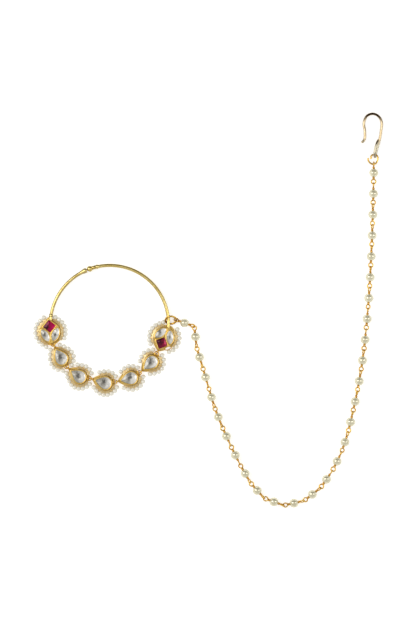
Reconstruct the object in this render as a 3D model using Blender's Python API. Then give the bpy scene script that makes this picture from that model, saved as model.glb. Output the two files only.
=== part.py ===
"""A nath, a bridal nose ring with its hair chain, laid flat as it is stored: metres, +Z up.

The hoop is two gold arms that part at a ball and cup. Between the arms hangs a string of
seven linked settings, each with foil-backed stones and a halo of seed pearls. A jump ring on
the right arm carries a chain of wired pearls, which ends in a jump ring and a hair hook. The
origin is on the surface that the piece lies on, near the middle of its outline.
"""

import math

import bmesh
import bpy
from mathutils import Matrix, Vector

MM = 0.001

# Hoop
HOOP_CENTRE = Vector((-35.12, -6.0, 0)) * MM
HOOP_RADIUS = 21.5 * MM
HOOP_WIRE = 1.2 * MM
HOOP_HEIGHT = 1.65 * MM
MOUTH_ANGLE = 113.0
MOUTH_INSET = 0.1 * MM
MOUTH_GAP = 0.3 * MM
BALL = 2.1 * MM
CATCH_LENGTH = 4.0 * MM
PIN = 0.6 * MM
PIN_LENGTH = 1.3 * MM
PIN_CLEARANCE = 0.15 * MM
CUP = 1.85 * MM
CUP_LENGTH = 2.6 * MM
FERRULE = 1.45 * MM
FERRULE_LENGTH = 2.2 * MM

# Settings
BEZEL_HEIGHT = 2.5 * MM
BEZEL_WALL = 0.55 * MM
SEAT_DEPTH = 1.1 * MM
SEAT_CLEARANCE = 0.09 * MM
STONE_CROWN = 0.3 * MM
STONE_TABLE = 0.62
STONE_GIRDLE = 0.15
FLANGE_THICKNESS = 0.45 * MM
FLANGE_WIDTH = 0.7 * MM
PEAR_ROUND = 2.05 * MM
PEAR_TIP = 3.6 * MM
PEAR_TIP_GROWTH = 1.25
PEAR_FLANK_BEND = 1.7
PEAR_LEAN = 0.16 * MM
MARQUISE_LENGTH = 4.8 * MM
MARQUISE_WIDTH = 2.45 * MM
MARQUISE_TIP_GROWTH = 1.3
MARQUISE_FLANK_BEND = 1.3
RUBY_SIDE = 3.25 * MM
RUBY_CORNER = 0.84
CLUSTER_HALF_WIDTH = 3.75 * MM
CLUSTER_HALF_LENGTH = 4.6 * MM
CLUSTER_NOTCH = 0.89
CLUSTER_LEAN = 0.08 * MM
LEFT_CLUSTER_ANGLE = 187.3
LEFT_CLUSTER_SET_OUT = 0.37 * MM
SLIT_LENGTH = 2.0 * MM
SLIT_WIDTH = 0.42 * MM
SLIT_TURN = -38.0
SLIT_PLACE = {"across": -0.74, "along": 0.68}

# Links between the settings
EYE_RADIUS = 0.75 * MM
EYE_WIRE = 0.45 * MM
EYE_HEIGHT = 1.4 * MM
EYE_CLEARANCE = 0.16 * MM

# Seed pearls
SEED_PEARL = 1.6 * MM
SEED_CLEARANCE = 0.2 * MM
HALO_STEP = 2.7 * MM
HALO_CURVE_STEPS = 6

# Jump rings
HOOP_RING_RADIUS = 1.96 * MM
HOOP_RING_WIRE = 0.7 * MM
HOOP_RING_TILT = 46.0
HOOP_RING_HEIGHT = 1.75 * MM
HOOP_RING_SET_BACK = 0.9 * MM
HOOP_RING_FROM_CLUSTER = 2.9 * MM
HOOK_RING_RADIUS = 1.25 * MM
HOOK_RING_WIRE = 0.6 * MM

# Pearl chain
CHAIN_PEARLS = 29
CHAIN_PEARL = 3.0 * MM
CHAIN_WIRE = 0.44 * MM
CHAIN_EYE_RADIUS = 0.78 * MM
CHAIN_EYE_START = 225.0
CHAIN_EYE_SWEEP = 285.0
CHAIN_STEM = 0.25 * MM
CHAIN_COLLAR = 0.85 * MM
CHAIN_COLLAR_LENGTH = 0.61 * MM
CHAIN_COLLAR_SINK = 0.045 * MM
CHAIN_CONTACT = 0.06 * MM
PEARL_LATITUDES = (-54, -18, 18, 54)
CHAIN_START_ANGLE = -10.0
CHAIN_TWISTS = (0, 25, -20, 10, -30, 18, -8)

# The chain's route past its first joint, laid by hand: x and y of chosen points in millimetres
# from that joint.
CHAIN_ROUTE = [
    (7.8, -3.1),
    (7.6, -8.6),
    (10.8, -19.6),
    (16.6, -37.5),
    (28.7, -60.8),
    (39.8, -67.0),
    (51.2, -62.0),
    (60.0, -48.0),
    (65.0, -29.5),
    (68.3, -9.6),
    (70.6, 19.1),
    (71.7, 56.9),
    (70.7, 83.6),
]
ROUTE_STEPS = 24

# Hair hook
HOOK_WIRE = 0.9 * MM
HOOK_HEIGHT = 0.48 * MM
HOOK_EYE_RISE = 2.2 * MM
HOOK_LENGTH = 16.0 * MM
HOOK_WIDTH = 6.4 * MM
HOOK_STEPS = 2

# The two end clusters: the axis is where the ruby's corner points and the eye angle is where
# the string leaves, in degrees. The feet of the eye and of the hoop's arm are shares of the
# cluster's half width and half length.
CLUSTERS = {
    "left": {"axis": 95.7, "eye_angle": 295.5, "eye_foot": (0.07, -0.80), "arm_foot": (0.14, 0.93)},
    "right": {"axis": 244.9, "eye_angle": 240.0, "eye_foot": (-0.03, 1.04), "arm_foot": (0.03, -0.79)},
}

# Stones in a cluster, with their places in the same shares and their turns in degrees.
CLUSTER_STONES = [
    {"stone": "ruby", "across": 0.0, "along": 0.47, "turn": 0.0},
    {"stone": "marquise", "across": -0.49, "along": -0.21, "turn": 27.0},
    {"stone": "marquise", "across": 0.49, "along": -0.21, "turn": -27.0},
]

# How far along the halo a pear's strings of seed pearls keep from its two links.
PEAR_HALO = {
    "outer": {"from_tip": 2.4 * MM, "from_exit": 2.6 * MM},
    "inner": {"from_tip": 3.9 * MM, "from_exit": 2.1 * MM},
}

# A cluster's strings, from their first to their last place in shares of the halo's length,
# counted counterclockwise from the ruby's corner.
CLUSTER_HALO = {
    "left": [(0.05, 0.45), (-0.065, -0.43)],
    "right": [(0.07, 0.42), (-0.11, -0.43)],
}

# Stones that the settings hold: the axis is where the tip points, the exit is where the
# flat eye at the round end points, both in degrees.
PEARS = [
    {"axis": 121.5, "exit": 302.0},
    {"axis": 144.0, "exit": 351.0},
    {"axis": 163.0, "exit": 7.0},
    {"axis": 194.0, "exit": 32.5},
    {"axis": 221.5, "exit": 60.0},
]

# Right half of a cluster's bezel, from the ruby's corner to the foot of the marquises:
# across is a share of the half width, along is a share of the half length.
CLUSTER_HALF = [
    {"across": 0.00, "along": 1.07},
    {"across": 0.44, "along": 0.79},
    {"across": 0.87, "along": 0.45},
    {"across": 1.00, "along": 0.06},
    {"across": 0.91, "along": -0.35},
    {"across": 0.58, "along": -0.68},
    {"across": 0.24, "along": -0.85},
]

# Turned end of the right arm: along is a share of the catch's length from the mouth,
# girth is a share of the ball's radius.
CATCH = [
    {"along": 0.03, "girth": 0.50},
    {"along": 0.10, "girth": 0.84},
    {"along": 0.24, "girth": 1.00},
    {"along": 0.38, "girth": 0.84},
    {"along": 0.46, "girth": 0.56},
    {"along": 0.50, "girth": 0.66},
    {"along": 0.60, "girth": 0.66},
    {"along": 0.64, "girth": 0.52},
    {"along": 0.68, "girth": 0.68},
    {"along": 0.78, "girth": 0.68},
    {"along": 0.81, "girth": 0.55},
    {"along": 0.85, "girth": 0.75},
    {"along": 0.97, "girth": 0.75},
]

# The left arm's cup, in shares of its length from the mouth and of its lip's radius, and the
# ferrule at the left cluster, in shares of its own length and radius.
CUP_SECTIONS = [
    {"along": 0.00, "girth": 1.00},
    {"along": 0.30, "girth": 0.96},
    {"along": 0.70, "girth": 0.77},
]
FERRULE_SECTIONS = [
    {"along": 0.00, "girth": 1.00},
    {"along": 0.45, "girth": 1.00},
    {"along": 0.50, "girth": 0.85},
    {"along": 1.00, "girth": 1.00},
]

# The hook, from its curled tip round the U to the top of its eye, from the centre of its jump
# ring: across is a share of the hook's width, along of its length, height of the eye's rise.
HOOK_ROUTE = [
    {"across": -0.700, "along": 0.344, "height": 0.0},
    {"across": -0.530, "along": 0.431, "height": 0.0},
    {"across": -0.515, "along": 0.606, "height": 0.0},
    {"across": -0.570, "along": 0.788, "height": 0.0},
    {"across": -0.415, "along": 0.944, "height": 0.0},
    {"across": -0.080, "along": 1.000, "height": 0.0},
    {"across": 0.250, "along": 0.944, "height": 0.0},
    {"across": 0.430, "along": 0.806, "height": 0.0},
    {"across": 0.383, "along": 0.575, "height": 0.0},
    {"across": 0.305, "along": 0.400, "height": 0.0},
    {"across": 0.164, "along": 0.200, "height": 0.0},
    {"across": 0.078, "along": 0.069, "height": 0.06},
    {"across": 0.034, "along": 0.021, "height": 0.5},
    {"across": 0.000, "along": 0.075, "height": 0.9},
    {"across": 0.039, "along": 0.212, "height": 1.0},
    {"across": 0.125, "along": 0.325, "height": 0.95},
    {"across": 0.227, "along": 0.406, "height": 0.55},
]

# The jump ring at the hook, opened at its end: reach is a share of the ring's radius.
HOOK_RING_ROUTE = [
    {"angle": 200, "reach": 1.0},
    {"angle": 160, "reach": 1.0},
    {"angle": 120, "reach": 1.0},
    {"angle": 80, "reach": 1.0},
    {"angle": 40, "reach": 1.0},
    {"angle": 0, "reach": 1.02},
    {"angle": -40, "reach": 1.2},
    {"angle": -72, "reach": 1.6},
    {"angle": -95, "reach": 1.82},
    {"angle": -120, "reach": 1.9},
    {"angle": -150, "reach": 1.9},
    {"angle": -178, "reach": 1.85},
]

HOOK_RING_HOLDS = -95

HOOP_SIDES = 8
LINK_SIDES = 10
LINK_WIRE_SIDES = 5
HOOP_RING_SIDES = 12
RING_WIRE_SIDES = 6
HOOP_STEP = 5.5


def direction(angle):
    """A level unit vector, counterclockwise from +X in degrees."""
    turn = math.radians(angle)
    return Vector((math.cos(turn), math.sin(turn), 0))


def at_height(point, height):
    return Vector((point.x, point.y, height))


def material(name, colour, metallic, roughness):
    made = bpy.data.materials.new(name)
    made.use_nodes = True
    shader = made.node_tree.nodes["Principled BSDF"]
    shader.inputs["Base Color"].default_value = (*colour, 1)
    shader.inputs["Metallic"].default_value = metallic
    shader.inputs["Roughness"].default_value = roughness
    made.diffuse_color = (*colour, 1)
    return made


def finish(name, bm, surface, sharp=40.0):
    """Makes the named object of a closed mesh, with its faces pointing out."""
    bmesh.ops.recalc_face_normals(bm, faces=bm.faces)
    mesh = bpy.data.meshes.new(name)
    bm.to_mesh(mesh)
    bm.free()
    mesh.materials.append(surface)
    mesh.shade_smooth()
    mesh.set_sharp_from_angle(angle=math.radians(sharp))
    made = bpy.data.objects.new(name, mesh)
    bpy.context.scene.collection.objects.link(made)
    return made


def stitch(bm, first, second):
    """Joins two rings of vertices with equal counts, or the second with twice as many."""
    count = len(first)
    if len(second) == count:
        for i in range(count):
            j = (i + 1) % count
            bm.faces.new((first[i], first[j], second[j], second[i]))
        return
    if len(second) < count:
        stitch(bm, second, first)
        return
    for i in range(count):
        j = (i + 1) % count
        low, middle, high = (second[(2 * i + k) % len(second)] for k in range(3))
        bm.faces.new((first[i], middle, low))
        bm.faces.new((first[i], first[j], middle))
        bm.faces.new((first[j], high, middle))


def loft(bm, rings):
    """A closed body through rings of points, with the first and the last filled."""
    made = [[bm.verts.new(point) for point in ring] for ring in rings]
    for i in range(1, len(made)):
        near = min(made[i], key=lambda vert: (vert.co - made[i - 1][0].co).length)
        k = made[i].index(near)
        made[i] = made[i][k:] + made[i][:k]
        stitch(bm, made[i - 1], made[i])
    bm.faces.new(made[0])
    bm.faces.new(made[-1])


def round_ring(centre, along, up, radius, sides):
    """A circle of points square to a line."""
    side = along.cross(up).normalized()
    over = side.cross(along).normalized()
    ring = []
    for i in range(sides):
        turn = math.tau * i / sides
        ring.append(centre + radius * (math.cos(turn) * side + math.sin(turn) * over))
    return ring


def tube_rings(points, radius, sides, up):
    """Rings square to a path, carried along it so that the tube doesn't twist."""
    rings = []
    for i, point in enumerate(points):
        along = (points[min(i + 1, len(points) - 1)] - points[max(i - 1, 0)]).normalized()
        up = (up - up.dot(along) * along).normalized()
        rings.append(round_ring(point, along, up, radius, sides))
    return rings


def smooth_path(points, steps):
    """A Catmull-Rom curve through the points, with as many steps in each stretch."""
    ends = [2 * points[0] - points[1], *points, 2 * points[-1] - points[-2]]
    path = []
    for a, b, c, d in zip(ends, ends[1:], ends[2:], ends[3:]):
        for k in range(steps):
            t = k / steps
            path.append(
                0.5
                * (
                    2 * b
                    + (c - a) * t
                    + (2 * a - 5 * b + 4 * c - d) * t**2
                    + (3 * b - a - 3 * c + d) * t**3
                )
            )
    path.append(points[-1])
    return path


def fuse(first, others, operation="UNION"):
    """Unites solids that overlap, or cuts the others from the first, and keeps one mesh."""
    group = bpy.data.collections.new("tools")
    for other in others:
        group.objects.link(other)
    cut = first.modifiers.new("fuse", "BOOLEAN")
    cut.operation = operation
    cut.solver = "EXACT"
    cut.operand_type = "COLLECTION"
    cut.collection = group
    graph = bpy.context.evaluated_depsgraph_get()
    merged = bpy.data.meshes.new_from_object(first.evaluated_get(graph))
    first.modifiers.clear()
    first.data = merged
    for other in others:
        bpy.data.objects.remove(other)
    bpy.data.collections.remove(group)
    return first


def torus(name, centre, axis, radius, wire, sides, surface):
    """A closed ring of wire about an axis, with its sides round the ring and round the wire."""
    bm = bmesh.new()
    sides, wire_sides = sides
    across = axis.orthogonal().normalized()
    rings = []
    for i in range(sides):
        out = Matrix.Rotation(math.tau * i / sides, 3, axis) @ across
        along = axis.cross(out)
        ring = round_ring(centre + radius * out, along, axis, wire / 2, wire_sides)
        rings.append([bm.verts.new(point) for point in ring])
    for first, second in zip(rings, rings[1:] + rings[:1]):
        stitch(bm, first, second)
    return finish(name, bm, surface)


def eye(origin, angle, wall, flat, surface):
    """A link's eye, soldered to a bezel's wall: flat, or standing on edge."""
    ahead = direction(angle)
    centre = at_height(origin + (wall + EYE_RADIUS) * ahead, EYE_HEIGHT)
    axis = Vector((0, 0, 1)) if flat else Vector((-ahead.y, ahead.x, 0))
    return torus("eye", centre, axis, EYE_RADIUS, EYE_WIRE, (LINK_SIDES, LINK_WIRE_SIDES), surface)


def eye_reach():
    """How far a bezel's wall stands from the middle between two eyes that pull on each other."""
    return 2 * EYE_RADIUS - (EYE_WIRE + EYE_CLEARANCE) / 2


def placed(point, origin, axis):
    """A local point, with +Y along the axis, set at the origin."""
    ahead = direction(axis)
    aside = Vector((ahead.y, -ahead.x, 0))
    return origin + point.x * aside + point.y * ahead + Vector((0, 0, point.z))


def pear_outline(grow, round_steps=6, flank_steps=3):
    """A pear about its round end's centre, tip at +Y, counterclockwise from the tip."""
    half = PEAR_ROUND + grow
    tip = PEAR_TIP + PEAR_TIP_GROWTH * grow
    flank = []
    for i in range(flank_steps):
        share = 1 - i / flank_steps
        flank.append(Vector((-half * (1 - share**PEAR_FLANK_BEND), tip * share, 0)))
    round_end = []
    for i in range(round_steps + 1):
        turn = math.pi * (1 + i / round_steps)
        round_end.append(Vector((half * math.cos(turn), half * math.sin(turn), 0)))
    other = [Vector((-point.x, point.y, 0)) for point in reversed(flank[1:])]
    return flank + round_end + other


def marquise_outline(grow, sides=10):
    """A pointed oval with its points on the Y axis, counterclockwise."""
    points = []
    for i in range(sides):
        turn = math.tau * i / sides
        across = abs(math.sin(turn)) ** MARQUISE_FLANK_BEND * math.copysign(1, -math.sin(turn))
        along = math.cos(turn) * (MARQUISE_LENGTH / 2 + MARQUISE_TIP_GROWTH * grow)
        points.append(Vector((across * (MARQUISE_WIDTH / 2 + grow), along, 0)))
    return points


def ruby_outline(grow):
    """A square stone with its corners just cut off, one corner at +Y."""
    half = RUBY_SIDE / 2 + grow
    points = []
    for i in range(4):
        for across in (RUBY_CORNER, -RUBY_CORNER):
            corner = Vector((across * half, half, 0))
            points.append(Matrix.Rotation(math.radians(45 + 90 * i), 3, "Z") @ corner)
    return points


def cluster_place(across, along):
    """A place in a cluster, in shares of its half width and half length."""
    return Vector((across * CLUSTER_HALF_WIDTH, along * CLUSTER_HALF_LENGTH, 0))


def cluster_outline(grow):
    """The outline of a cluster's bezel, ruby's corner at +Y, counterclockwise from it."""
    right = []
    for row in CLUSTER_HALF:
        point = cluster_place(row["across"], row["along"])
        right.append(point + grow * point.normalized())
    foot = cluster_place(0, -CLUSTER_NOTCH) - Vector((0, grow, 0))
    left = [Vector((-point.x, point.y, 0)) for point in right]
    return left + [foot] + list(reversed(right[1:]))


STONE_OUTLINES = {"ruby": ruby_outline, "marquise": marquise_outline}


def lifted(outline, height, origin, axis):
    """An outline at a height, set at the origin along the axis."""
    return [placed(at_height(point, height), origin, axis) for point in outline]


def prism(name, outline, low, high, origin, axis, surface):
    """A straight-walled body over an outline."""
    bm = bmesh.new()
    loft(bm, [lifted(outline, low, origin, axis), lifted(outline, high, origin, axis)])
    return finish(name, bm, surface)


def stone(name, outline_of, origin, axis, surface):
    """A foil-backed stone: flat below, a girdle, one row of crown facets and a table."""
    seat = BEZEL_HEIGHT - SEAT_DEPTH + SEAT_CLEARANCE
    girdle = outline_of(0)
    girdle_height = BEZEL_HEIGHT - STONE_GIRDLE * SEAT_DEPTH
    table = [STONE_TABLE * point for point in girdle]
    bm = bmesh.new()
    loft(
        bm,
        [
            lifted(girdle, seat, origin, axis),
            lifted(girdle, girdle_height, origin, axis),
            lifted(table, BEZEL_HEIGHT + STONE_CROWN, origin, axis),
        ],
    )
    return finish(name, bm, surface, sharp=10.0)


def pear_setting(number, origin, row, gold, link_gold):
    """A pear bezel on its flange, with a standing eye at the tip and a flat one opposite."""
    seat = BEZEL_HEIGHT - SEAT_DEPTH
    wall = SEAT_CLEARANCE + BEZEL_WALL
    section = [
        (wall + FLANGE_WIDTH, 0),
        (wall + FLANGE_WIDTH, FLANGE_THICKNESS),
        (wall, FLANGE_THICKNESS),
        (wall - PEAR_LEAN, BEZEL_HEIGHT),
        (SEAT_CLEARANCE, BEZEL_HEIGHT),
        (SEAT_CLEARANCE, seat),
    ]
    bm = bmesh.new()
    loft(bm, [lifted(pear_outline(grow), up, origin, row["axis"]) for grow, up in section])
    body = finish(f"pear_setting_{number}", bm, gold)
    eyes = [
        eye(origin, row["axis"], PEAR_TIP + PEAR_TIP_GROWTH * wall, False, link_gold),
        eye(origin, row["exit"], PEAR_ROUND + wall, True, link_gold),
    ]
    return fuse(body, eyes)


def flange_slit(origin, axis, surface):
    """A cutter for the narrow slit that the right cluster's flange leaves beside its ruby."""
    outline = [
        Vector((across * SLIT_WIDTH / 2, along * SLIT_LENGTH / 2, 0))
        for across, along in ((1, -1), (1, 1), (-1, 1), (-1, -1))
    ]
    spot = placed(cluster_place(SLIT_PLACE["across"], SLIT_PLACE["along"]), origin, axis)
    turn = axis + SLIT_TURN
    return prism("slit", outline, -BEZEL_HEIGHT, BEZEL_HEIGHT / 2, spot, turn, surface)


def cluster(side, origin, cutters, arm, gold, link_gold):
    """A three-stone bezel on its flange, fused with its link's eye and the hoop's arm."""
    row = CLUSTERS[side]
    axis = row["axis"]
    section = [
        (FLANGE_WIDTH, 0),
        (FLANGE_WIDTH, FLANGE_THICKNESS),
        (0, FLANGE_THICKNESS),
        (-CLUSTER_LEAN, BEZEL_HEIGHT),
    ]
    bm = bmesh.new()
    loft(bm, [lifted(cluster_outline(grow), up, origin, axis) for grow, up in section])
    body = finish(f"hoop_{side}", bm, gold)
    seats = list(cutters)
    for stone_row in CLUSTER_STONES:
        spot = placed(cluster_place(stone_row["across"], stone_row["along"]), origin, axis)
        outline = STONE_OUTLINES[stone_row["stone"]](SEAT_CLEARANCE)
        low = BEZEL_HEIGHT - SEAT_DEPTH
        turn = axis + stone_row["turn"]
        seats.append(prism("seat", outline, low, 2 * BEZEL_HEIGHT, spot, turn, gold))
    body = fuse(body, seats, "DIFFERENCE")
    foot = placed(cluster_place(*row["eye_foot"]), origin, axis)
    return fuse(body, [eye(foot, row["eye_angle"], 0, side == "left", link_gold), arm])


def cluster_stones(side, origin, surfaces):
    """The ruby and the two marquises of one cluster."""
    for number, row in enumerate(CLUSTER_STONES):
        label = row["stone"]
        name = f"ruby_{side}" if label == "ruby" else f"marquise_{side}_{number}"
        axis = CLUSTERS[side]["axis"]
        spot = placed(cluster_place(row["across"], row["along"]), origin, axis)
        stone(name, STONE_OUTLINES[label], spot, axis + row["turn"], surfaces[label])


def arm_point(start, end, share):
    """A point of an arm, whose radius eases from one end's to the other's."""
    angle = start["angle"] + share * (end["angle"] - start["angle"])
    radius = start["radius"] + share * (end["radius"] - start["radius"])
    return at_height(HOOP_CENTRE, HOOP_HEIGHT) + radius * direction(angle)


def arm_length(start, end):
    """The length of an arm's wire between its ends."""
    return math.radians(abs(end["angle"] - start["angle"])) * (start["radius"] + end["radius"]) / 2


def turned_arm(name, start, end, sections, gold):
    """A turned wire along an arm: each section has its length from the mouth and its radius."""
    length = arm_length(start, end)
    upright = Vector((0, 0, 1))
    nudge = 0.001
    bm = bmesh.new()
    rings = []
    for along, radius in sections:
        share = along / length
        ahead = arm_point(start, end, share + nudge) - arm_point(start, end, share - nudge)
        centre = arm_point(start, end, share)
        rings.append(round_ring(centre, ahead.normalized(), upright, radius, HOOP_SIDES))
    loft(bm, rings)
    return finish(name, bm, gold)


def wire_sections(first, last, radius):
    """Even sections of plain wire between two lengths, close enough to keep the arc round."""
    step = math.radians(HOOP_STEP) * HOOP_RADIUS
    count = max(2, round((last - first) / step))
    return [(first + (last - first) * i / count, radius) for i in range(count + 1)]


def hoop_end(point):
    """A soldered end's angle and radius about the hoop's centre."""
    offset = point - HOOP_CENTRE
    angle = math.degrees(math.atan2(offset.y, offset.x))
    return {"angle": angle, "radius": at_height(offset, 0).length}


def mouth():
    """Where the two arms meet, a little inside the hoop's circle."""
    return {"angle": MOUTH_ANGLE, "radius": HOOP_RADIUS - MOUTH_INSET}


def profile(rows, first, length, radius):
    """Sections of a turned piece from its table's shares."""
    return [(first + row["along"] * length, row["girth"] * radius) for row in rows]


def right_arm(junction, gold):
    """Pin, ball, grooved neck and collar, then the wire down to the right cluster."""
    start = mouth()
    end = hoop_end(junction)
    sections = [(-PIN_LENGTH, PIN / 2), (0, PIN / 2)]
    sections += profile(CATCH, 0, CATCH_LENGTH, BALL / 2)
    sections += wire_sections(CATCH_LENGTH, arm_length(start, end), HOOP_WIRE / 2)
    return turned_arm("right_arm", start, end, sections, gold), start, end


def left_arm(junction, gold):
    """A cup with a socket for the pin, the wire, and the ferrule at the left cluster."""
    start = mouth()
    end = hoop_end(junction)
    length = arm_length(start, end)
    bore = PIN / 2 + PIN_CLEARANCE
    socket = PIN_LENGTH + PIN_CLEARANCE
    ferrule = length - FERRULE_LENGTH
    sections = [(MOUTH_GAP + socket, bore), (MOUTH_GAP, bore)]
    sections += profile(CUP_SECTIONS, MOUTH_GAP, CUP_LENGTH, CUP / 2)
    sections += wire_sections(MOUTH_GAP + CUP_LENGTH, ferrule, HOOP_WIRE / 2)
    sections += profile(FERRULE_SECTIONS, ferrule, FERRULE_LENGTH, FERRULE / 2)
    return turned_arm("left_arm", start, end, sections, gold)


def path_lengths(path):
    """The length along a path at each of its points."""
    lengths = [0.0]
    for first, second in zip(path, path[1:]):
        lengths.append(lengths[-1] + (second - first).length)
    return lengths


def closed_loop(outline):
    """An outline as a closed smooth curve."""
    return smooth_path([*outline, outline[0]], HALO_CURVE_STEPS)


def halo_path(outline, origin, axis, start, end, height):
    """A stretch of a closed outline between two lengths along it, as places on a curve."""
    loop = closed_loop(outline)
    lengths = path_lengths(loop)
    count = max(3, round(abs(end - start) / HALO_STEP))
    points = []
    for i in range(count + 1):
        goal = (start + (end - start) * i / count) % lengths[-1]
        k = max(j for j, length in enumerate(lengths[:-1]) if length <= goal)
        share = (goal - lengths[k]) / (lengths[k + 1] - lengths[k])
        points.append(placed(at_height(loop[k].lerp(loop[k + 1], share), height), origin, axis))
    return points


def halo_outline(outline_of, wall):
    """Where the seed pearls' centres run round a bezel."""
    return outline_of(wall + FLANGE_WIDTH + SEED_CLEARANCE + SEED_PEARL / 2)


def pear_halo(number, origin, row, surface):
    """An outer and an inner string of seed pearls, which stop short of the two links."""
    outline = halo_outline(pear_outline, SEAT_CLEARANCE + BEZEL_WALL)
    whole = path_lengths(closed_loop(outline))[-1]
    bend = math.radians((row["exit"] - row["axis"]) % 360 - 180)
    past = bend * max(point.x for point in outline)
    for side, way in (("outer", 1), ("inner", -1)):
        gap = PEAR_HALO[side]
        start = way * gap["from_tip"]
        end = way * (whole / 2 - gap["from_exit"]) + past
        string = halo_path(outline, origin, row["axis"], start, end, SEED_PEARL / 2)
        pearl_string(f"seed_pearls_{number}_{side}", string, surface)


def cluster_halo(side, origin, surface):
    """The two strings of seed pearls round a cluster, which stop short of its link and arm."""
    axis = CLUSTERS[side]["axis"]
    outline = halo_outline(cluster_outline, 0)
    whole = path_lengths(closed_loop(outline))[-1]
    for number, (first, last) in enumerate(CLUSTER_HALO[side], 1):
        string = halo_path(outline, origin, axis, first * whole, last * whole, SEED_PEARL / 2)
        pearl_string(f"seed_pearls_{side}_{number}", string, surface)


def pearl_string(name, points, surface):
    """A string of seed pearls as a plain tube, which the pearls then fill."""
    curve = bpy.data.curves.new(name, "CURVE")
    curve.dimensions = "3D"
    curve.bevel_depth = SEED_PEARL / 2
    curve.bevel_resolution = 2
    curve.use_fill_caps = True
    spline = curve.splines.new("POLY")
    spline.points.add(len(points) - 1)
    for place, point in zip(spline.points, points):
        place.co = (*point, 1)
    curve.materials.append(surface)
    made = bpy.data.objects.new(name, curve)
    bpy.context.scene.collection.objects.link(made)
    return made


def chain_eye(centre, outward, normal):
    """Points round a chain eye, from its cut end to the side where its stem leaves."""
    aside = normal.cross(outward)
    points = []
    for i in range(LINK_SIDES):
        turn = math.radians(CHAIN_EYE_START + CHAIN_EYE_SWEEP * i / (LINK_SIDES - 1))
        reach = math.cos(turn) * outward + math.sin(turn) * aside
        points.append(centre + CHAIN_EYE_RADIUS * reach)
    return points


def eye_inset():
    """From a joint back to the centre of each of the two eyes that touch there."""
    return CHAIN_EYE_RADIUS - CHAIN_WIRE / 2 + CHAIN_CONTACT


def chain_unit(start, end, normal, surface):
    """A pearl on its wire with an eye at each end, one turned a quarter against the other."""
    along = (end - start).normalized()
    normal = (normal - normal.dot(along) * along).normalized()
    second_normal = Matrix.Rotation(math.pi / 2, 3, along) @ normal
    first = start + eye_inset() * along
    second = end - eye_inset() * along
    middle = (start + end) / 2
    wire = CHAIN_WIRE / 2
    first_eye = tube_rings(chain_eye(first, -along, normal), wire, LINK_WIRE_SIDES, normal)
    back = list(reversed(chain_eye(second, along, second_normal)))
    second_eye = tube_rings(back, wire, LINK_WIRE_SIDES, second_normal)
    rings = first_eye
    collar = CHAIN_PEARL / 2 + CHAIN_COLLAR_LENGTH
    seat = CHAIN_PEARL / 2 - CHAIN_COLLAR_SINK
    for place in (-collar, -seat):
        centre = middle + place * along
        rings.append(round_ring(centre, along, normal, CHAIN_COLLAR / 2, LINK_WIRE_SIDES))
    for latitude in PEARL_LATITUDES:
        turn = math.radians(latitude)
        centre = middle + CHAIN_PEARL / 2 * math.sin(turn) * along
        girth = CHAIN_PEARL / 2 * math.cos(turn)
        rings.append(round_ring(centre, along, normal, girth, 2 * LINK_WIRE_SIDES))
    for place in (seat, collar):
        centre = middle + place * along
        rings.append(round_ring(centre, along, second_normal, CHAIN_COLLAR / 2, LINK_WIRE_SIDES))
    rings += second_eye
    bm = bmesh.new()
    loft(bm, rings)
    return finish("chain_unit", bm, surface)


def chain_pitch():
    """From joint to joint: a pearl, its two collars and its two eyes up to their contact."""
    ends = CHAIN_COLLAR_LENGTH + CHAIN_STEM + CHAIN_EYE_RADIUS + eye_inset()
    return CHAIN_PEARL + 2 * ends


def chain_joints(start):
    """Joints one pitch apart, measured straight from each to the next along the route."""
    route = [start] + [start + Vector((x, y, 0)) * MM for x, y in CHAIN_ROUTE]
    path = smooth_path(route, ROUTE_STEPS)
    joints = [start]
    for before, after in zip(path, path[1:]):
        while len(joints) <= CHAIN_PEARLS and (after - joints[-1]).length >= chain_pitch():
            near = (before - joints[-1]).length
            far = (after - joints[-1]).length
            share = (chain_pitch() - near) / (far - near)
            joints.append(before.lerp(after, min(max(share, 0.0), 1.0)))
    return joints


def pearl_chain(start, start_normal, surface):
    """The chain as one body, each eye hooked through the next, with the joints that it has."""
    joints = chain_joints(start)
    units = []
    for i, (first, second) in enumerate(zip(joints, joints[1:])):
        twist = math.radians(CHAIN_TWISTS[i % len(CHAIN_TWISTS)])
        roll = Matrix.Rotation(twist, 3, second - first)
        normal = start_normal if i == 0 else roll @ Vector((0, 0, 1))
        units.append(chain_unit(first, second, normal, surface))
    fuse(units[0], units[1:]).name = "pearl_chain"
    return joints


def hoop_ring(start, end, surface):
    """The jump ring on the right arm: one side lies over the wire and the other under it."""
    share = 1 - HOOP_RING_FROM_CLUSTER / arm_length(start, end)
    on_wire = arm_point(start, end, share)
    outward = at_height(on_wire - HOOP_CENTRE, 0).normalized()
    centre = at_height(on_wire + HOOP_RING_SET_BACK * outward, HOOP_RING_HEIGHT)
    axis = Matrix.Rotation(math.radians(HOOP_RING_TILT), 3, outward) @ Vector((0, 0, 1))
    sides = (HOOP_RING_SIDES, RING_WIRE_SIDES)
    torus("hoop_jump_ring", centre, axis, HOOP_RING_RADIUS, HOOP_RING_WIRE, sides, surface)
    return centre + HOOP_RING_RADIUS * outward, axis.cross(outward)


def bent_wire(name, points, wire, surface):
    """A wire bent along a path, with flat ends."""
    bm = bmesh.new()
    loft(bm, tube_rings(points, wire / 2, RING_WIRE_SIDES, Vector((0, 0, 1))))
    return finish(name, bm, surface)


def hook_ring(held, surface):
    """The jump ring at the hook, whose opened end carries the chain's last eye."""
    opened = next(row for row in HOOK_RING_ROUTE if row["angle"] == HOOK_RING_HOLDS)
    centre = held - opened["reach"] * HOOK_RING_RADIUS * direction(HOOK_RING_HOLDS)
    points = []
    for row in HOOK_RING_ROUTE:
        points.append(centre + row["reach"] * HOOK_RING_RADIUS * direction(row["angle"]))
    bent_wire("hook_jump_ring", points, HOOK_RING_WIRE, surface)
    return centre


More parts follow.
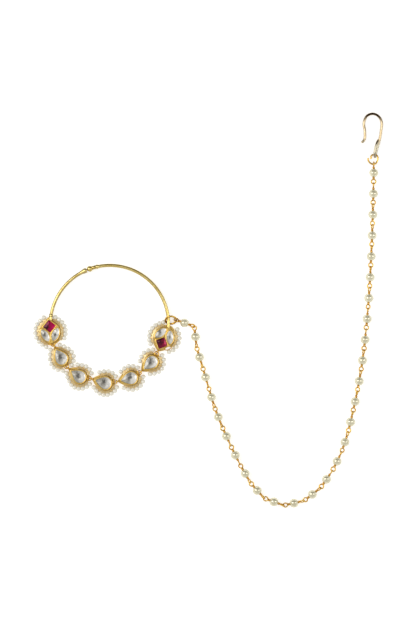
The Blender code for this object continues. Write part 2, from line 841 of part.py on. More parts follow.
def hair_hook(ring_centre, surface):
    """A bent wire: a curled tip, a narrow U and a long eye standing on edge in the jump ring."""
    points = []
    for row in HOOK_ROUTE:
        height = HOOK_HEIGHT + row["height"] * HOOK_EYE_RISE
        offset = Vector((row["across"] * HOOK_WIDTH, row["along"] * HOOK_LENGTH, 0))
        points.append(at_height(ring_centre + offset, height))
    bent_wire("hair_hook", smooth_path(points, HOOK_STEPS), HOOK_WIRE, surface)


def string_of_settings(left_origin, gold, link_gold, crystal, seed):
    """The five pears, each hung on the last, and the joint at which the right cluster starts."""
    left = CLUSTERS["left"]
    wall = SEAT_CLEARANCE + BEZEL_WALL
    joint = placed(cluster_place(*left["eye_foot"]), left_origin, left["axis"])
    joint += eye_reach() * direction(left["eye_angle"])
    for number, row in enumerate(PEARS, 1):
        tip = PEAR_TIP + PEAR_TIP_GROWTH * wall
        origin = joint - (tip + eye_reach()) * direction(row["axis"])
        pear_setting(number, origin, row, gold, link_gold)
        stone(f"pear_stone_{number}", pear_outline, origin, row["axis"], crystal)
        pear_halo(number, origin, row, seed)
        joint = origin + (PEAR_ROUND + wall + eye_reach()) * direction(row["exit"])
    return joint


def build():
    gold = material("hoop_gold", (0.86, 0.68, 0.30), 1.0, 0.22)
    link_gold = material("link_gold", (0.90, 0.55, 0.12), 1.0, 0.25)
    hook_gold = material("hook_gold", (0.85, 0.74, 0.52), 1.0, 0.2)
    crystal = material("foiled_crystal", (0.86, 0.88, 0.87), 0.2, 0.08)
    ruby = material("ruby", (0.45, 0.01, 0.10), 0.1, 0.08)
    seed = material("seed_pearl", (0.88, 0.86, 0.76), 0.0, 0.3)
    pearl = material("cream_pearl", (0.86, 0.83, 0.68), 0.0, 0.25)

    left, right = CLUSTERS["left"], CLUSTERS["right"]
    set_out = HOOP_RADIUS + LEFT_CLUSTER_SET_OUT
    left_origin = HOOP_CENTRE + set_out * direction(LEFT_CLUSTER_ANGLE)
    joint = string_of_settings(left_origin, gold, link_gold, crystal, seed)
    right_foot = placed(cluster_place(*right["eye_foot"]), Vector(), right["axis"])
    right_origin = joint - right_foot - eye_reach() * direction(right["eye_angle"])

    junction = placed(cluster_place(*left["arm_foot"]), left_origin, left["axis"])
    cluster("left", left_origin, [], left_arm(junction, gold), gold, link_gold)
    junction = placed(cluster_place(*right["arm_foot"]), right_origin, right["axis"])
    arm, start, end = right_arm(junction, gold)
    slit = flange_slit(right_origin, right["axis"], gold)
    cluster("right", right_origin, [slit], arm, gold, link_gold)
    for side, origin in (("left", left_origin), ("right", right_origin)):
        cluster_stones(side, origin, {"ruby": ruby, "marquise": crystal})
        cluster_halo(side, origin, seed)

    held, held_along = hoop_ring(start, end, link_gold)
    chain_start = at_height(held - eye_inset() * direction(CHAIN_START_ANGLE), CHAIN_PEARL / 2)
    joints = pearl_chain(chain_start, held_along, pearl)
    last_eye = joints[-1] - eye_inset() * (joints[-1] - joints[-2]).normalized()
    hair_hook(hook_ring(last_eye, link_gold), hook_gold)


for old in list(bpy.data.objects):
    bpy.data.objects.remove(old)
build()
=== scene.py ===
"""The looks of a nath, a bridal nose ring, laid flat and seen from straight above: metres, +Z up."""

import math
import random

import bpy
from mathutils import Matrix, Vector


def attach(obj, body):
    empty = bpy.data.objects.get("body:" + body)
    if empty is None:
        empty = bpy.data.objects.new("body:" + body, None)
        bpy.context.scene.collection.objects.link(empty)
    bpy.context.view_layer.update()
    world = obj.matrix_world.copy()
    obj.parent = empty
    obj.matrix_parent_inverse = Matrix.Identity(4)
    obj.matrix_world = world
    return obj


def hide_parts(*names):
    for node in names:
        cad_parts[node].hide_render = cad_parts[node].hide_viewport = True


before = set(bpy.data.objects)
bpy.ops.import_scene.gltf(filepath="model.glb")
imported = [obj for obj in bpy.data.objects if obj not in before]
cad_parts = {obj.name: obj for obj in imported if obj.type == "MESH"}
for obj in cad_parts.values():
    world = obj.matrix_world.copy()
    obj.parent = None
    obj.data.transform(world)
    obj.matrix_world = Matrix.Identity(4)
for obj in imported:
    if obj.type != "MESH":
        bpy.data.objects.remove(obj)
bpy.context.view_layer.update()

MM = 0.001
UP = Vector((0, 0, 1))

# Studio: the piece lies on a sheet of bright white board and is photographed from straight above,
# between two softboxes that stand left and right. Their faces are what the metal, the stones and
# the pearls mirror, and the bright board shows hardly a shadow.
CAMERA_HEIGHT = 0.6
PHOTO_HEIGHT = 0.22464
PHOTO_MIDDLE = (-0.00003, -0.0015)
BOARD_SIZE = 1.6

bpy.ops.object.camera_add(location=(*PHOTO_MIDDLE, CAMERA_HEIGHT + 1.5 * MM), rotation=(0, 0, 0))
camera = bpy.context.object
camera.name = "camera"
camera.data.sensor_width = 36
camera.data.lens = 36 * CAMERA_HEIGHT / PHOTO_HEIGHT
bpy.context.scene.camera = camera


def soft_light(name, place, width, length, power, tint):
    """A softbox that faces the piece."""
    turn = (-Vector(place)).to_track_quat("-Z", "Y").to_euler()
    bpy.ops.object.light_add(type="AREA", location=place, rotation=turn)
    light = bpy.context.object
    light.name = name
    light.data.shape = "RECTANGLE"
    light.data.size = width
    light.data.size_y = length
    light.data.energy = power
    light.data.color = tint


soft_light("left_softbox", (-0.34, 0.10, 0.42), 0.30, 0.42, 1.1, (1.0, 0.99, 0.97))
soft_light("right_softbox", (0.36, 0.04, 0.40), 0.18, 0.40, 0.5, (1.0, 0.99, 0.97))


def tuned(node, values):
    """Sets a node's inputs by their names."""
    for label, value in values.items():
        node.inputs[label].default_value = value


def ranged(tree, source, low, high, to_low=0.0, to_high=1.0, way="LINEAR"):
    """A value taken from one range to another, and kept inside it."""
    node = tree.nodes.new("ShaderNodeMapRange")
    node.interpolation_type = way
    tuned(node, {"From Min": low, "From Max": high, "To Min": to_low, "To Max": to_high})
    tree.links.new(source, node.inputs["Value"])
    return node.outputs["Result"]


def mixed(tree, share, first, second, way="MIX"):
    """A mix of two colours. The share and the colours are values or other nodes' outputs."""
    node = tree.nodes.new("ShaderNodeMix")
    node.data_type = "RGBA"
    node.blend_type = way
    for label, value in (("Factor", share), ("A", first), ("B", second)):
        if isinstance(value, bpy.types.NodeSocket):
            tree.links.new(value, node.inputs[label])
        else:
            node.inputs[label].default_value = value if label == "Factor" else (*value, 1)
    return node.outputs["Result"]


# The room behind the lights is grey and falls off to near black at the back.
studio = bpy.data.worlds.new("studio")
studio.use_nodes = True
room = studio.node_tree
room_place = room.nodes.new("ShaderNodeTexCoord")
room_axes = room.nodes.new("ShaderNodeSeparateXYZ")
room.links.new(room_place.outputs["Generated"], room_axes.inputs[0])
to_back = ranged(room, room_axes.outputs["Y"], 0.2, 0.8, way="SMOOTHSTEP")
room_grey = mixed(room, to_back, (0.50, 0.49, 0.47), (0.03, 0.03, 0.03))
room.links.new(room_grey, room.nodes["Background"].inputs["Color"])
bpy.context.scene.world = studio
bpy.context.scene.view_settings.view_transform = "Standard"

bpy.ops.mesh.primitive_plane_add(size=BOARD_SIZE, location=(0, 0, -0.02 * MM))
board = bpy.context.object
board.name = "board"
white_board = bpy.data.materials.new("white_board")
white_board.use_nodes = True
board_shader = white_board.node_tree.nodes["Principled BSDF"]
tuned(board_shader, {"Base Color": (0.86, 0.86, 0.86, 1), "Roughness": 0.9})
tuned(board_shader, {"Emission Color": (1, 1, 1, 1), "Emission Strength": 0.55})
board.data.materials.append(white_board)

# The hoop: two arms of drawn gold wire, 1.2 mm thick, that part at the upper left. The right arm
# ends in a turned ball with a pin, behind a grooved neck and a collar. The left arm ends in a cup
# that takes the pin, and a ferrule solders its other end to the left cluster.
HOOP_CENTRE = Vector((-35.12, -6.0, 0)) * MM
HOOP_RADIUS = 21.5 * MM
HOOP_WIRE = 1.2 * MM
HOOP_HEIGHT = 1.65 * MM
MOUTH_ANGLE = 113.0
MOUTH_RADIUS = HOOP_RADIUS - 0.1 * MM
MOUTH_GAP = 0.3 * MM
PIN = 0.6 * MM
PIN_LENGTH = 1.3 * MM
BALL = 2.1 * MM
BALL_PLACE = 0.96 * MM
CUP_BORE = 0.9 * MM
CUP_DEPTH = 1.45 * MM
FERRULE_LENGTH = 2.2 * MM

# Lengths from the mouth and diameters, in millimetres, of the right arm's neck and collar.
NECK = (
    (1.90, 1.16),
    (2.00, 1.40),
    (2.36, 1.42),
    (2.46, 1.10),
    (2.56, 1.10),
    (2.66, 1.44),
    (3.08, 1.46),
    (3.18, 1.14),
    (3.28, 1.14),
    (3.38, 1.54),
    (3.50, 1.62),
    (3.78, 1.62),
    (3.92, 1.50),
    (4.04, 1.24),
)
CUP_FORM = ((0.00, 1.74), (0.08, 1.85), (0.45, 1.84), (1.10, 1.66), (1.80, 1.40), (2.60, 1.24))
FERRULE_FORM = ((0.00, 1.22), (0.12, 1.46), (0.85, 1.46), (0.98, 1.20), (1.12, 1.24), (2.20, 1.50))

# The end clusters, as the frame has them: the axis is where the ruby's corner points, and the
# feet are shares of the cluster's half width and half length.
CLUSTER_HALF_WIDTH = 3.75 * MM
CLUSTER_HALF_LENGTH = 4.6 * MM
CLUSTERS = {
    "left": {"axis": 95.7, "eye_angle": 295.5, "eye_foot": (0.07, -0.80), "arm_foot": (0.14, 0.93)},
    "right": {"axis": 244.9, "eye_angle": 240.0, "eye_foot": (-0.03, 1.04), "arm_foot": (0.03, -0.79)},
}
LEFT_CLUSTER_ANGLE = 187.3
LEFT_CLUSTER_SET_OUT = 0.37 * MM
EYE_RADIUS = 0.75 * MM
EYE_WIRE = 0.45 * MM
EYE_CLEARANCE = 0.16 * MM
EYE_HEIGHT = 1.4 * MM
BEZEL_TO_GIRDLE = 0.64 * MM
PEAR_ROUND = 2.05 * MM
PEAR_TIP = 3.6 * MM
PEAR_TIP_GROWTH = 1.25
TIP_WALL = PEAR_TIP + PEAR_TIP_GROWTH * BEZEL_TO_GIRDLE
ROUND_WALL = PEAR_ROUND + BEZEL_TO_GIRDLE
PEARS = (
    {"axis": 121.5, "exit": 302.0},
    {"axis": 144.0, "exit": 351.0},
    {"axis": 163.0, "exit": 7.0},
    {"axis": 194.0, "exit": 32.5},
    {"axis": 221.5, "exit": 60.0},
)


def direction(angle):
    """A level unit vector, counterclockwise from +X in degrees."""
    turn = math.radians(angle)
    return Vector((math.cos(turn), math.sin(turn), 0))


def placed(point, origin, axis):
    """A setting's own point, with +Y along its axis, set at its origin."""
    ahead = direction(axis)
    aside = Vector((ahead.y, -ahead.x, 0))
    return origin + point.x * aside + point.y * ahead + point.z * UP


def cluster_place(across, along):
    return Vector((across * CLUSTER_HALF_WIDTH, along * CLUSTER_HALF_LENGTH, 0))


# The string is hung link by link from the left cluster, so each setting's place follows.
eye_reach = 2 * EYE_RADIUS - (EYE_WIRE + EYE_CLEARANCE) / 2
set_out = HOOP_RADIUS + LEFT_CLUSTER_SET_OUT
cluster_origins = {"left": HOOP_CENTRE + set_out * direction(LEFT_CLUSTER_ANGLE)}
left_row = CLUSTERS["left"]
joint = placed(cluster_place(*left_row["eye_foot"]), cluster_origins["left"], left_row["axis"])
joint += eye_reach * direction(left_row["eye_angle"])
pear_origins = []
for row in PEARS:
    pear_origins.append(joint - (TIP_WALL + eye_reach) * direction(row["axis"]))
    joint = pear_origins[-1] + (ROUND_WALL + eye_reach) * direction(row["exit"])
right_row = CLUSTERS["right"]
right_foot = placed(cluster_place(*right_row["eye_foot"]), Vector(), right_row["axis"])
cluster_origins["right"] = joint - right_foot - eye_reach * direction(right_row["eye_angle"])


def arm_end(side):
    """Where an arm meets its cluster, as an angle and a radius about the hoop's centre."""
    row = CLUSTERS[side]
    offset = placed(cluster_place(*row["arm_foot"]), cluster_origins[side], row["axis"]) - HOOP_CENTRE
    angle = math.degrees(math.atan2(offset.y, offset.x))
    return angle % 360 if side == "left" else angle, offset.length


def arm_whole(side):
    """An arm's whole length from the mouth to its cluster."""
    end_angle, end_radius = arm_end(side)
    return math.radians(abs(end_angle - MOUTH_ANGLE)) * (MOUTH_RADIUS + end_radius) / 2


def arm_place(side, length):
    """The point of an arm at a length from the mouth, at the hoop's height."""
    end_angle, end_radius = arm_end(side)
    share = length / arm_whole(side)
    angle = MOUTH_ANGLE + share * (end_angle - MOUTH_ANGLE)
    radius = MOUTH_RADIUS + share * (end_radius - MOUTH_RADIUS)
    return HOOP_CENTRE + radius * direction(angle) + HOOP_HEIGHT * UP


def drawn_wire(name, stations, roundness=6):
    """A wire through places with a thickness at each, drawn as a curve and made a mesh."""
    bpy.ops.object.select_all(action="DESELECT")
    bpy.ops.curve.primitive_nurbs_path_add()
    wire = bpy.context.object
    wire.name = name
    wire.data.splines.clear()
    spline = wire.data.splines.new("POLY")
    spline.points.add(len(stations) - 1)
    for point, (place, thickness) in zip(spline.points, stations):
        point.co = (*place, 1)
        point.radius = thickness / 2
    wire.data.bevel_depth = 1
    wire.data.bevel_resolution = roundness
    wire.data.use_fill_caps = True
    bpy.ops.object.convert(target="MESH")
    bpy.ops.object.shade_smooth_by_angle(angle=math.radians(50))
    return bpy.context.object


def pick_faces(piece, wanted):
    """Selects in edit mode the faces that pass a test."""
    bpy.ops.object.mode_set(mode="EDIT")
    bpy.ops.mesh.select_mode(type="FACE")
    bpy.ops.mesh.select_all(action="DESELECT")
    bpy.ops.object.mode_set(mode="OBJECT")
    for face in piece.data.polygons:
        face.select = wanted(face)
    bpy.ops.object.mode_set(mode="EDIT")


def finish_piece(piece, surface, slot, *nodes):
    """Gives a finished piece its metal or stone, and the frame's nodes that it stands for."""
    bpy.ops.object.mode_set(mode="OBJECT")
    piece.data.materials.clear()
    piece.data.materials.append(surface)
    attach(piece, "root")
    if nodes:
        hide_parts(*nodes)


def shared_effect(name, inputs, outputs):
    """A node group with its inputs and outputs, each a name and a kind, and their two nodes."""
    effect = bpy.data.node_groups.new(name, "ShaderNodeTree")
    for way, sockets in (("INPUT", inputs), ("OUTPUT", outputs)):
        for label, kind in sockets.items():
            effect.interface.new_socket(label, in_out=way, socket_type=f"NodeSocket{kind}")
    return effect, effect.nodes.new("NodeGroupInput"), effect.nodes.new("NodeGroupOutput")


def worked(tree, kind, operation, *operands):
    """A sum on numbers or vectors: values, other nodes' outputs, or None to leave an input alone."""
    node = tree.nodes.new(kind)
    node.operation = operation
    for socket, value in zip(node.inputs, operands):
        if isinstance(value, bpy.types.NodeSocket):
            tree.links.new(value, socket)
        elif value is not None:
            socket.default_value = value
    return node.outputs["Value" if kind == "ShaderNodeMath" or operation == "LENGTH" else "Vector"]


def bumped(tree, height, strength, depth):
    """Fine relief on a material's surface, from a height."""
    node = tree.nodes.new("ShaderNodeBump")
    tuned(node, {"Strength": strength, "Distance": depth})
    tree.links.new(height, node.inputs["Height"])
    tree.links.new(node.outputs["Normal"], tree.nodes["Principled BSDF"].inputs["Normal"])


def facing(tree):
    """How far a surface is turned away from the eye, from 0 to 1."""
    node = tree.nodes.new("ShaderNodeLayerWeight")
    tuned(node, {"Blend": 0.5})
    return node.outputs["Facing"]


# A shared effect: gold that has been filed, polished by hand and worn. It gives a colour between
# two tones, a roughness with dull patches, and a height with fine file lines and soft dents.
worn_gold, entry, result = shared_effect(
    "worn_gold",
    {"Bright": "Color", "Deep": "Color", "Grain": "Float", "Polish": "Float"},
    {"Color": "Color", "Roughness": "Float", "Height": "Float"},
)
nodes, links = worn_gold.nodes, worn_gold.links
place = nodes.new("ShaderNodeTexCoord")
cloudy = nodes.new("ShaderNodeTexNoise")
tuned(cloudy, {"Detail": 3})
links.new(place.outputs["Object"], cloudy.inputs["Vector"])
links.new(entry.outputs["Grain"], cloudy.inputs["Scale"])
fine_scale = worked(worn_gold, "ShaderNodeMath", "MULTIPLY", entry.outputs["Grain"], 7)
fine = nodes.new("ShaderNodeTexNoise")
tuned(fine, {"Detail": 5, "Roughness": 0.65})
links.new(place.outputs["Object"], fine.inputs["Vector"])
links.new(fine_scale, fine.inputs["Scale"])
tone = ranged(worn_gold, cloudy.outputs["Fac"], 0.38, 0.66)
blend = mixed(worn_gold, tone, entry.outputs["Bright"], entry.outputs["Deep"])
dull = ranged(worn_gold, fine.outputs["Fac"], 0.35, 0.75, 0.0, 0.16)
gloss = worked(worn_gold, "ShaderNodeMath", "ADD", dull, entry.outputs["Polish"])
dents = worked(
    worn_gold, "ShaderNodeMath", "MULTIPLY_ADD", fine.outputs["Fac"], 0.3, cloudy.outputs["Fac"]
)
links.new(blend, result.inputs["Color"])
links.new(gloss, result.inputs["Roughness"])
links.new(dents, result.inputs["Height"])


def gold(name, bright, deep, painted_edge_shade, grain, polish, dent_depth):
    """A gold of its own colours, with painted shade where it turns away from the eye, a finish and dents."""
    metal = bpy.data.materials.new(name)
    metal.use_nodes = True
    nodes, links = metal.node_tree.nodes, metal.node_tree.links
    shader = nodes["Principled BSDF"]
    tuned(shader, {"Metallic": 1.0})
    worn = nodes.new("ShaderNodeGroup")
    worn.node_tree = worn_gold
    tuned(worn, {"Bright": (*bright, 1), "Deep": (*deep, 1), "Grain": grain, "Polish": polish})
    # Painted shade: where the surface turns away from the eye, the colour goes towards a darker tone.
    flank = ranged(metal.node_tree, facing(metal.node_tree), 0.16, 0.62)
    edge_shaded = mixed(metal.node_tree, flank, worn.outputs["Color"], painted_edge_shade)
    links.new(edge_shaded, shader.inputs["Base Color"])
    links.new(worn.outputs["Roughness"], shader.inputs["Roughness"])
    bumped(metal.node_tree, worn.outputs["Height"], 0.6, dent_depth)
    return metal


# The left arm's gold is a darker copy of the hoop's gold, with darker edges: painted shade on that arm.
hoop_gold = gold("hoop_gold", (0.95, 0.76, 0.30), (0.84, 0.62, 0.18), (0.32, 0.23, 0.04), 420, 0.2, 0.03 * MM)
shaded_left_arm_gold = gold(
    "shaded_left_arm_gold", (0.86, 0.69, 0.29), (0.74, 0.55, 0.17), (0.16, 0.11, 0.02), 420, 0.22, 0.03 * MM
)

stations = [(arm_place("right", -PIN_LENGTH), 0.6 * PIN), (arm_place("right", -0.92 * PIN_LENGTH), PIN)]
for latitude in range(-70, 65, 10):
    turn = math.radians(latitude)
    length = BALL_PLACE + BALL / 2 * math.sin(turn)
    if length > 0.1 * MM:
        stations.append((arm_place("right", length), BALL * math.cos(turn)))
    elif latitude == -70:
        stations.append((arm_place("right", 0), PIN))
for length, thickness in NECK:
    stations.append((arm_place("right", length * MM), thickness * MM))
neck_end = NECK[-1][0] * MM
steps = 90
for i in range(1, steps + 1):
    length = neck_end + (arm_whole("right") - neck_end) * i / steps
    stations.append((arm_place("right", length), HOOP_WIRE))
right_arm = drawn_wire("right_arm", stations)
finish_piece(right_arm, hoop_gold, "hoop_gold", "hoop_right")

stations = [(arm_place("left", MOUTH_GAP + length * MM), width * MM) for length, width in CUP_FORM]
cup_end = MOUTH_GAP + CUP_FORM[-1][0] * MM
ferrule_start = arm_whole("left") - FERRULE_LENGTH
steps = 50
for i in range(1, steps):
    length = cup_end + (ferrule_start - cup_end) * i / steps
    stations.append((arm_place("left", length), HOOP_WIRE))
for length, thickness in FERRULE_FORM:
    stations.append((arm_place("left", ferrule_start + length * MM), thickness * MM))
left_arm = drawn_wire("left_arm", stations)
lip = arm_place("left", MOUTH_GAP)
inward = (arm_place("left", MOUTH_GAP + CUP_DEPTH) - lip).normalized()
pick_faces(left_arm, lambda face: (face.center - lip).length < 0.1 * MM and face.normal.dot(inward) < -0.9)
bpy.ops.mesh.inset(thickness=(CUP_FORM[0][1] * MM - CUP_BORE) / 2)
bpy.ops.mesh.extrude_region_move(TRANSFORM_OT_translate={"value": CUP_DEPTH * inward})
finish_piece(left_arm, shaded_left_arm_gold, "hoop_gold", "hoop_left")

# The settings: each bezel is a gold blank sawn to the stone's outline, with a low flange round a
# raised wall, and its rim is burnished over the stone's edge. The two end clusters have one
# flange for three small collets, and the right one has a slit sawn through beside its ruby. The
# slit is as wide as in the photo, which is wider than in the solid.
FLANGE_WIDTH = 0.7 * MM
BEZEL_HEIGHT = 2.5 * MM
CLUSTER_NOTCH = 0.89
SLIT_LENGTH = 2.0 * MM
SLIT_WIDTH = 0.8 * MM
SLIT_CLEAR = 0.85 * SLIT_LENGTH
SLIT_RIM = 0.3 * MM
SLIT_TURN = -42.0
SLIT_PLACE = (-0.75, 0.64)

# Sections from the outer edge of the foot in to the seat, in millimetres: how far out from the
# stone's edge, or for a cluster from its outline, and how high.
PEAR_SECTION = (
    (1.30, 0.0),
    (1.34, 0.05),
    (1.34, 0.36),
    (1.28, 0.45),
    (0.68, 0.45),
    (0.64, 0.52),
    (0.56, 2.20),
    (0.53, 2.38),
    (0.46, 2.47),
    (0.38, 2.50),
    (0.20, 2.50),
    (0.12, 2.47),
    (0.06, 2.38),
    (0.03, 1.45),
)
CLUSTER_SECTION = (
    (0.66, 0.0),
    (0.70, 0.05),
    (0.70, 0.36),
    (0.64, 0.45),
    (0.04, 0.45),
    (0.0, 0.52),
    (-0.06, 2.05),
    (-0.12, 2.22),
    (-0.22, 2.3),
)
COLLET_SECTION = (
    (0.42, 0.6),
    (0.42, 2.34),
    (0.37, 2.46),
    (0.28, 2.50),
    (0.17, 2.50),
    (0.09, 2.45),
    (0.05, 2.36),
    (0.03, 1.45),
)
MARQUISE_LENGTH = 4.8 * MM
MARQUISE_WIDTH = 2.45 * MM
RUBY_SIDE = 3.25 * MM

# Right half of a cluster, from the ruby's corner to the foot, in the shares of its feet.
CLUSTER_HALF = (
    (0.00, 1.07),
    (0.44, 0.79),
    (0.87, 0.45),
    (1.00, 0.06),
    (0.91, -0.35),
    (0.58, -0.68),
    (0.24, -0.85),
)
CLUSTER_STONES = (
    {"stone": "ruby", "across": 0.0, "along": 0.47, "turn": 0.0},
    {"stone": "marquise", "across": -0.49, "along": -0.21, "turn": 27.0},
    {"stone": "marquise", "across": 0.49, "along": -0.21, "turn": -27.0},
)


def smooth_path(points, steps):
    """A smooth curve through the points, with as many steps in each stretch."""
    ends = [2 * points[0] - points[1], *points, 2 * points[-1] - points[-2]]
    path = []
    for a, b, c, d in zip(ends, ends[1:], ends[2:], ends[3:]):
        for k in range(steps):
            t = k / steps
            bend = (2 * a - 5 * b + 4 * c - d) * t**2 + (3 * b - a - 3 * c + d) * t**3
            path.append(0.5 * (2 * b + (c - a) * t + bend))
    path.append(points[-1])
    return path


def pear_outline(grow):
    """A pear about its round end's centre, tip at +Y, counterclockwise from the tip."""
    half = PEAR_ROUND + grow
    tip = PEAR_TIP + PEAR_TIP_GROWTH * grow
    flank = []
    for i in range(14):
        share = 1 - i / 14
        flank.append(Vector((-half * (1 - share**1.7), tip * share, 0)))
    round_end = []
    for i in range(29):
        turn = math.pi * (1 + i / 28)
        round_end.append(Vector((half * math.cos(turn), half * math.sin(turn), 0)))
    return flank + round_end + [Vector((-point.x, point.y, 0)) for point in reversed(flank[1:])]


def marquise_outline(grow):
    """A pointed oval with its points on the Y axis, counterclockwise."""
    points = []
    for i in range(40):
        turn = math.tau * i / 40
        across = abs(math.sin(turn)) ** 1.3 * math.copysign(1, -math.sin(turn))
        along = math.cos(turn) * (MARQUISE_LENGTH / 2 + 1.3 * grow)
        points.append(Vector((across * (MARQUISE_WIDTH / 2 + grow), along, 0)))
    return points


def ruby_outline(grow):
    """A square with its corners just cut off, one corner at +Y, counterclockwise."""
    half = RUBY_SIDE / 2 + grow
    points = []
    for i in range(4):
        for share in (0.86, 0.43, 0, -0.43, -0.86):
            corner = Vector((share * half, half, 0))
            points.append(Matrix.Rotation(math.radians(45 + 90 * i), 3, "Z") @ corner)
    return points


def cluster_outline(grow):
    """A cluster's outline, ruby's corner at +Y, counterclockwise from it."""
    right = []
    for across, along in CLUSTER_HALF:
        point = cluster_place(across, along)
        right.append(point + grow * point.normalized())
    foot = cluster_place(0, -CLUSTER_NOTCH) - Vector((0, grow, 0))
    half = smooth_path([*right, foot], 5)
    return [Vector((-point.x, point.y, 0)) for point in half] + list(reversed(half[1:-1]))


def blank(name, points):
    """A flat sheet with its corners at the points."""
    bpy.ops.object.select_all(action="DESELECT")
    bpy.ops.mesh.primitive_circle_add(vertices=len(points), radius=PEAR_ROUND, fill_type="NGON")
    sheet = bpy.context.object
    sheet.name = name
    for vertex, point in zip(sheet.data.vertices, points):
        vertex.co = point
    return sheet


def raised(name, outline_of, section):
    """A blank sawn to an outline and raised ring by ring: how far each stands out, and its height."""
    before = outline_of(section[0][0] * MM)
    piece = blank(name, [Vector((point.x, point.y, section[0][1] * MM)) for point in before])
    bpy.ops.object.mode_set(mode="EDIT")
    bpy.ops.mesh.select_mode(type="FACE")
    bpy.ops.mesh.select_all(action="SELECT")
    for grow, height in section[1:]:
        after = outline_of(grow * MM)
        bpy.ops.mesh.extrude_region_move()
        bpy.ops.object.mode_set(mode="OBJECT")
        for vertex in piece.data.vertices:
            if vertex.select:
                flat = Vector((vertex.co.x, vertex.co.y, 0))
                i = min(range(len(before)), key=lambda k: (before[k] - flat).length_squared)
                vertex.co = Vector((after[i].x, after[i].y, height * MM))
        bpy.ops.object.mode_set(mode="EDIT")
        before = after
    bpy.ops.mesh.select_all(action="SELECT")
    bpy.ops.mesh.normals_make_consistent(inside=False)
    bpy.ops.object.mode_set(mode="OBJECT")
    bpy.ops.object.shade_smooth_by_angle(angle=math.radians(38))
    return piece


def setting_home(origin, axis):
    """A setting's place, which turns its +Y to the axis."""
    return Matrix.Translation(origin) @ Matrix.Rotation(math.radians(axis - 90), 4, "Z")


def settle(piece, origin, axis):
    """Moves a piece's mesh to its setting's place."""
    piece.data.transform(setting_home(origin, axis))


bezel_gold = gold(
    "bezel_gold", (0.97, 0.70, 0.22), (0.86, 0.54, 0.12), (0.44, 0.25, 0.04), 600, 0.24, 0.05 * MM
)

for number, (origin, row) in enumerate(zip(pear_origins, PEARS), 1):
    bezel = raised(f"pear_bezel_{number}", pear_outline, PEAR_SECTION)
    settle(bezel, origin, row["axis"])
    finish_piece(bezel, bezel_gold, "hoop_gold", f"pear_setting_{number}")

stone_outlines = {"ruby": ruby_outline, "marquise": marquise_outline}
slit_middle = placed(cluster_place(*SLIT_PLACE), cluster_origins["right"], CLUSTERS["right"]["axis"])
for side, origin in cluster_origins.items():
    axis = CLUSTERS[side]["axis"]
    plate = raised(f"{side}_cluster_plate", cluster_outline, CLUSTER_SECTION)
    settle(plate, origin, axis)
    if side == "right":
        bpy.ops.object.select_all(action="DESELECT")
        bpy.ops.mesh.primitive_cube_add(size=1)
        saw = bpy.context.object
        saw.data.transform(Matrix.Diagonal((SLIT_WIDTH, SLIT_LENGTH, 4 * BEZEL_HEIGHT, 1)))
        settle(saw, slit_middle, axis + SLIT_TURN)
        cut = plate.modifiers.new("slit", "BOOLEAN")
        cut.operation = "DIFFERENCE"
        cut.solver = "EXACT"
        cut.object = saw
        bpy.context.view_layer.objects.active = plate
        bpy.ops.object.modifier_apply(modifier=cut.name)
        bpy.data.objects.remove(saw)
    finish_piece(plate, bezel_gold, "hoop_gold")
    if side == "right":
        oval = []
        for i in range(33):
            turn = math.tau * i / 32
            across = (SLIT_WIDTH + SLIT_RIM) / 2 * math.cos(turn)
            along = (SLIT_LENGTH + 1.6 * SLIT_RIM) / 2 * math.sin(turn)
            oval.append(placed(Vector((across, along, 0.5 * MM)), slit_middle, axis + SLIT_TURN))
        rim = drawn_wire("slit_rim", [(point, SLIT_RIM) for point in oval], 3)
        finish_piece(rim, bezel_gold, "hoop_gold")
    for number, row in enumerate(CLUSTER_STONES):
        name = f"{side}_ruby_collet" if row["stone"] == "ruby" else f"{side}_marquise_collet_{number}"
        outline_of = stone_outlines[row["stone"]]
        collet = raised(name, outline_of, COLLET_SECTION)
        spot = placed(cluster_place(row["across"], row["along"]), origin, axis)
        settle(collet, spot, axis + row["turn"])
        finish_piece(collet, bezel_gold, "hoop_gold")

# The stones: uncoloured crystal pears and marquises and square rubies, cut with a table and two
# rows of crown facets. Foil behind each stone throws the light back. Each stone's colour is painted
# lighter on the right, with a painted dark reflection near its middle and painted glints, so that a
# stone shows white, grey and near black patches.
STONE_SEAT = 1.5 * MM
GIRDLE_HEIGHT = 2.36 * MM
CROWN_HEIGHT = 0.30 * MM
PAINTED_STONE_GLOW = 0.10
CROWN_ROWS = {
    "pear": {"facets": 14, "rows": ((0.74, 0.62), (0.40, 1.0)), "middle": (0, 0.45 * MM)},
    "marquise": {"facets": 10, "rows": ((0.70, 0.62), (0.36, 1.0)), "middle": (0, 0)},
    "ruby": {"facets": 4, "rows": ((0.84, 0.45), (0.66, 0.80), (0.48, 1.0)), "middle": (0, 0)},
}

# A shared effect: what is seen through a stone down to its foil, with painted light and shade. Every
# stone has its own map from its middle, so that a painted dark reflection lies a little to the left
# and up in each, and the colour is painted lighter on the right. Small cells give painted glints.
foiled, entry, result = shared_effect(
    "foil_painted_light",
    {"Light": "Color", "Shade": "Color", "Dark": "Color", "Window": "Vector"},
    {"Color": "Color", "Height": "Float"},
)
nodes, links = foiled.nodes, foiled.links
own = nodes.new("ShaderNodeUVMap")
own.uv_map = "from_middle"
place = nodes.new("ShaderNodeTexCoord")
ragged = nodes.new("ShaderNodeTexNoise")
tuned(ragged, {"Scale": 1300, "Detail": 2})
links.new(place.outputs["Object"], ragged.inputs["Vector"])
centred = worked(foiled, "ShaderNodeVectorMath", "SUBTRACT", ragged.outputs["Color"], (0.5, 0.5, 0.5))
wander = worked(foiled, "ShaderNodeVectorMath", "MULTIPLY_ADD", centred, (1.2, 1.0, 0), own.outputs["UV"])
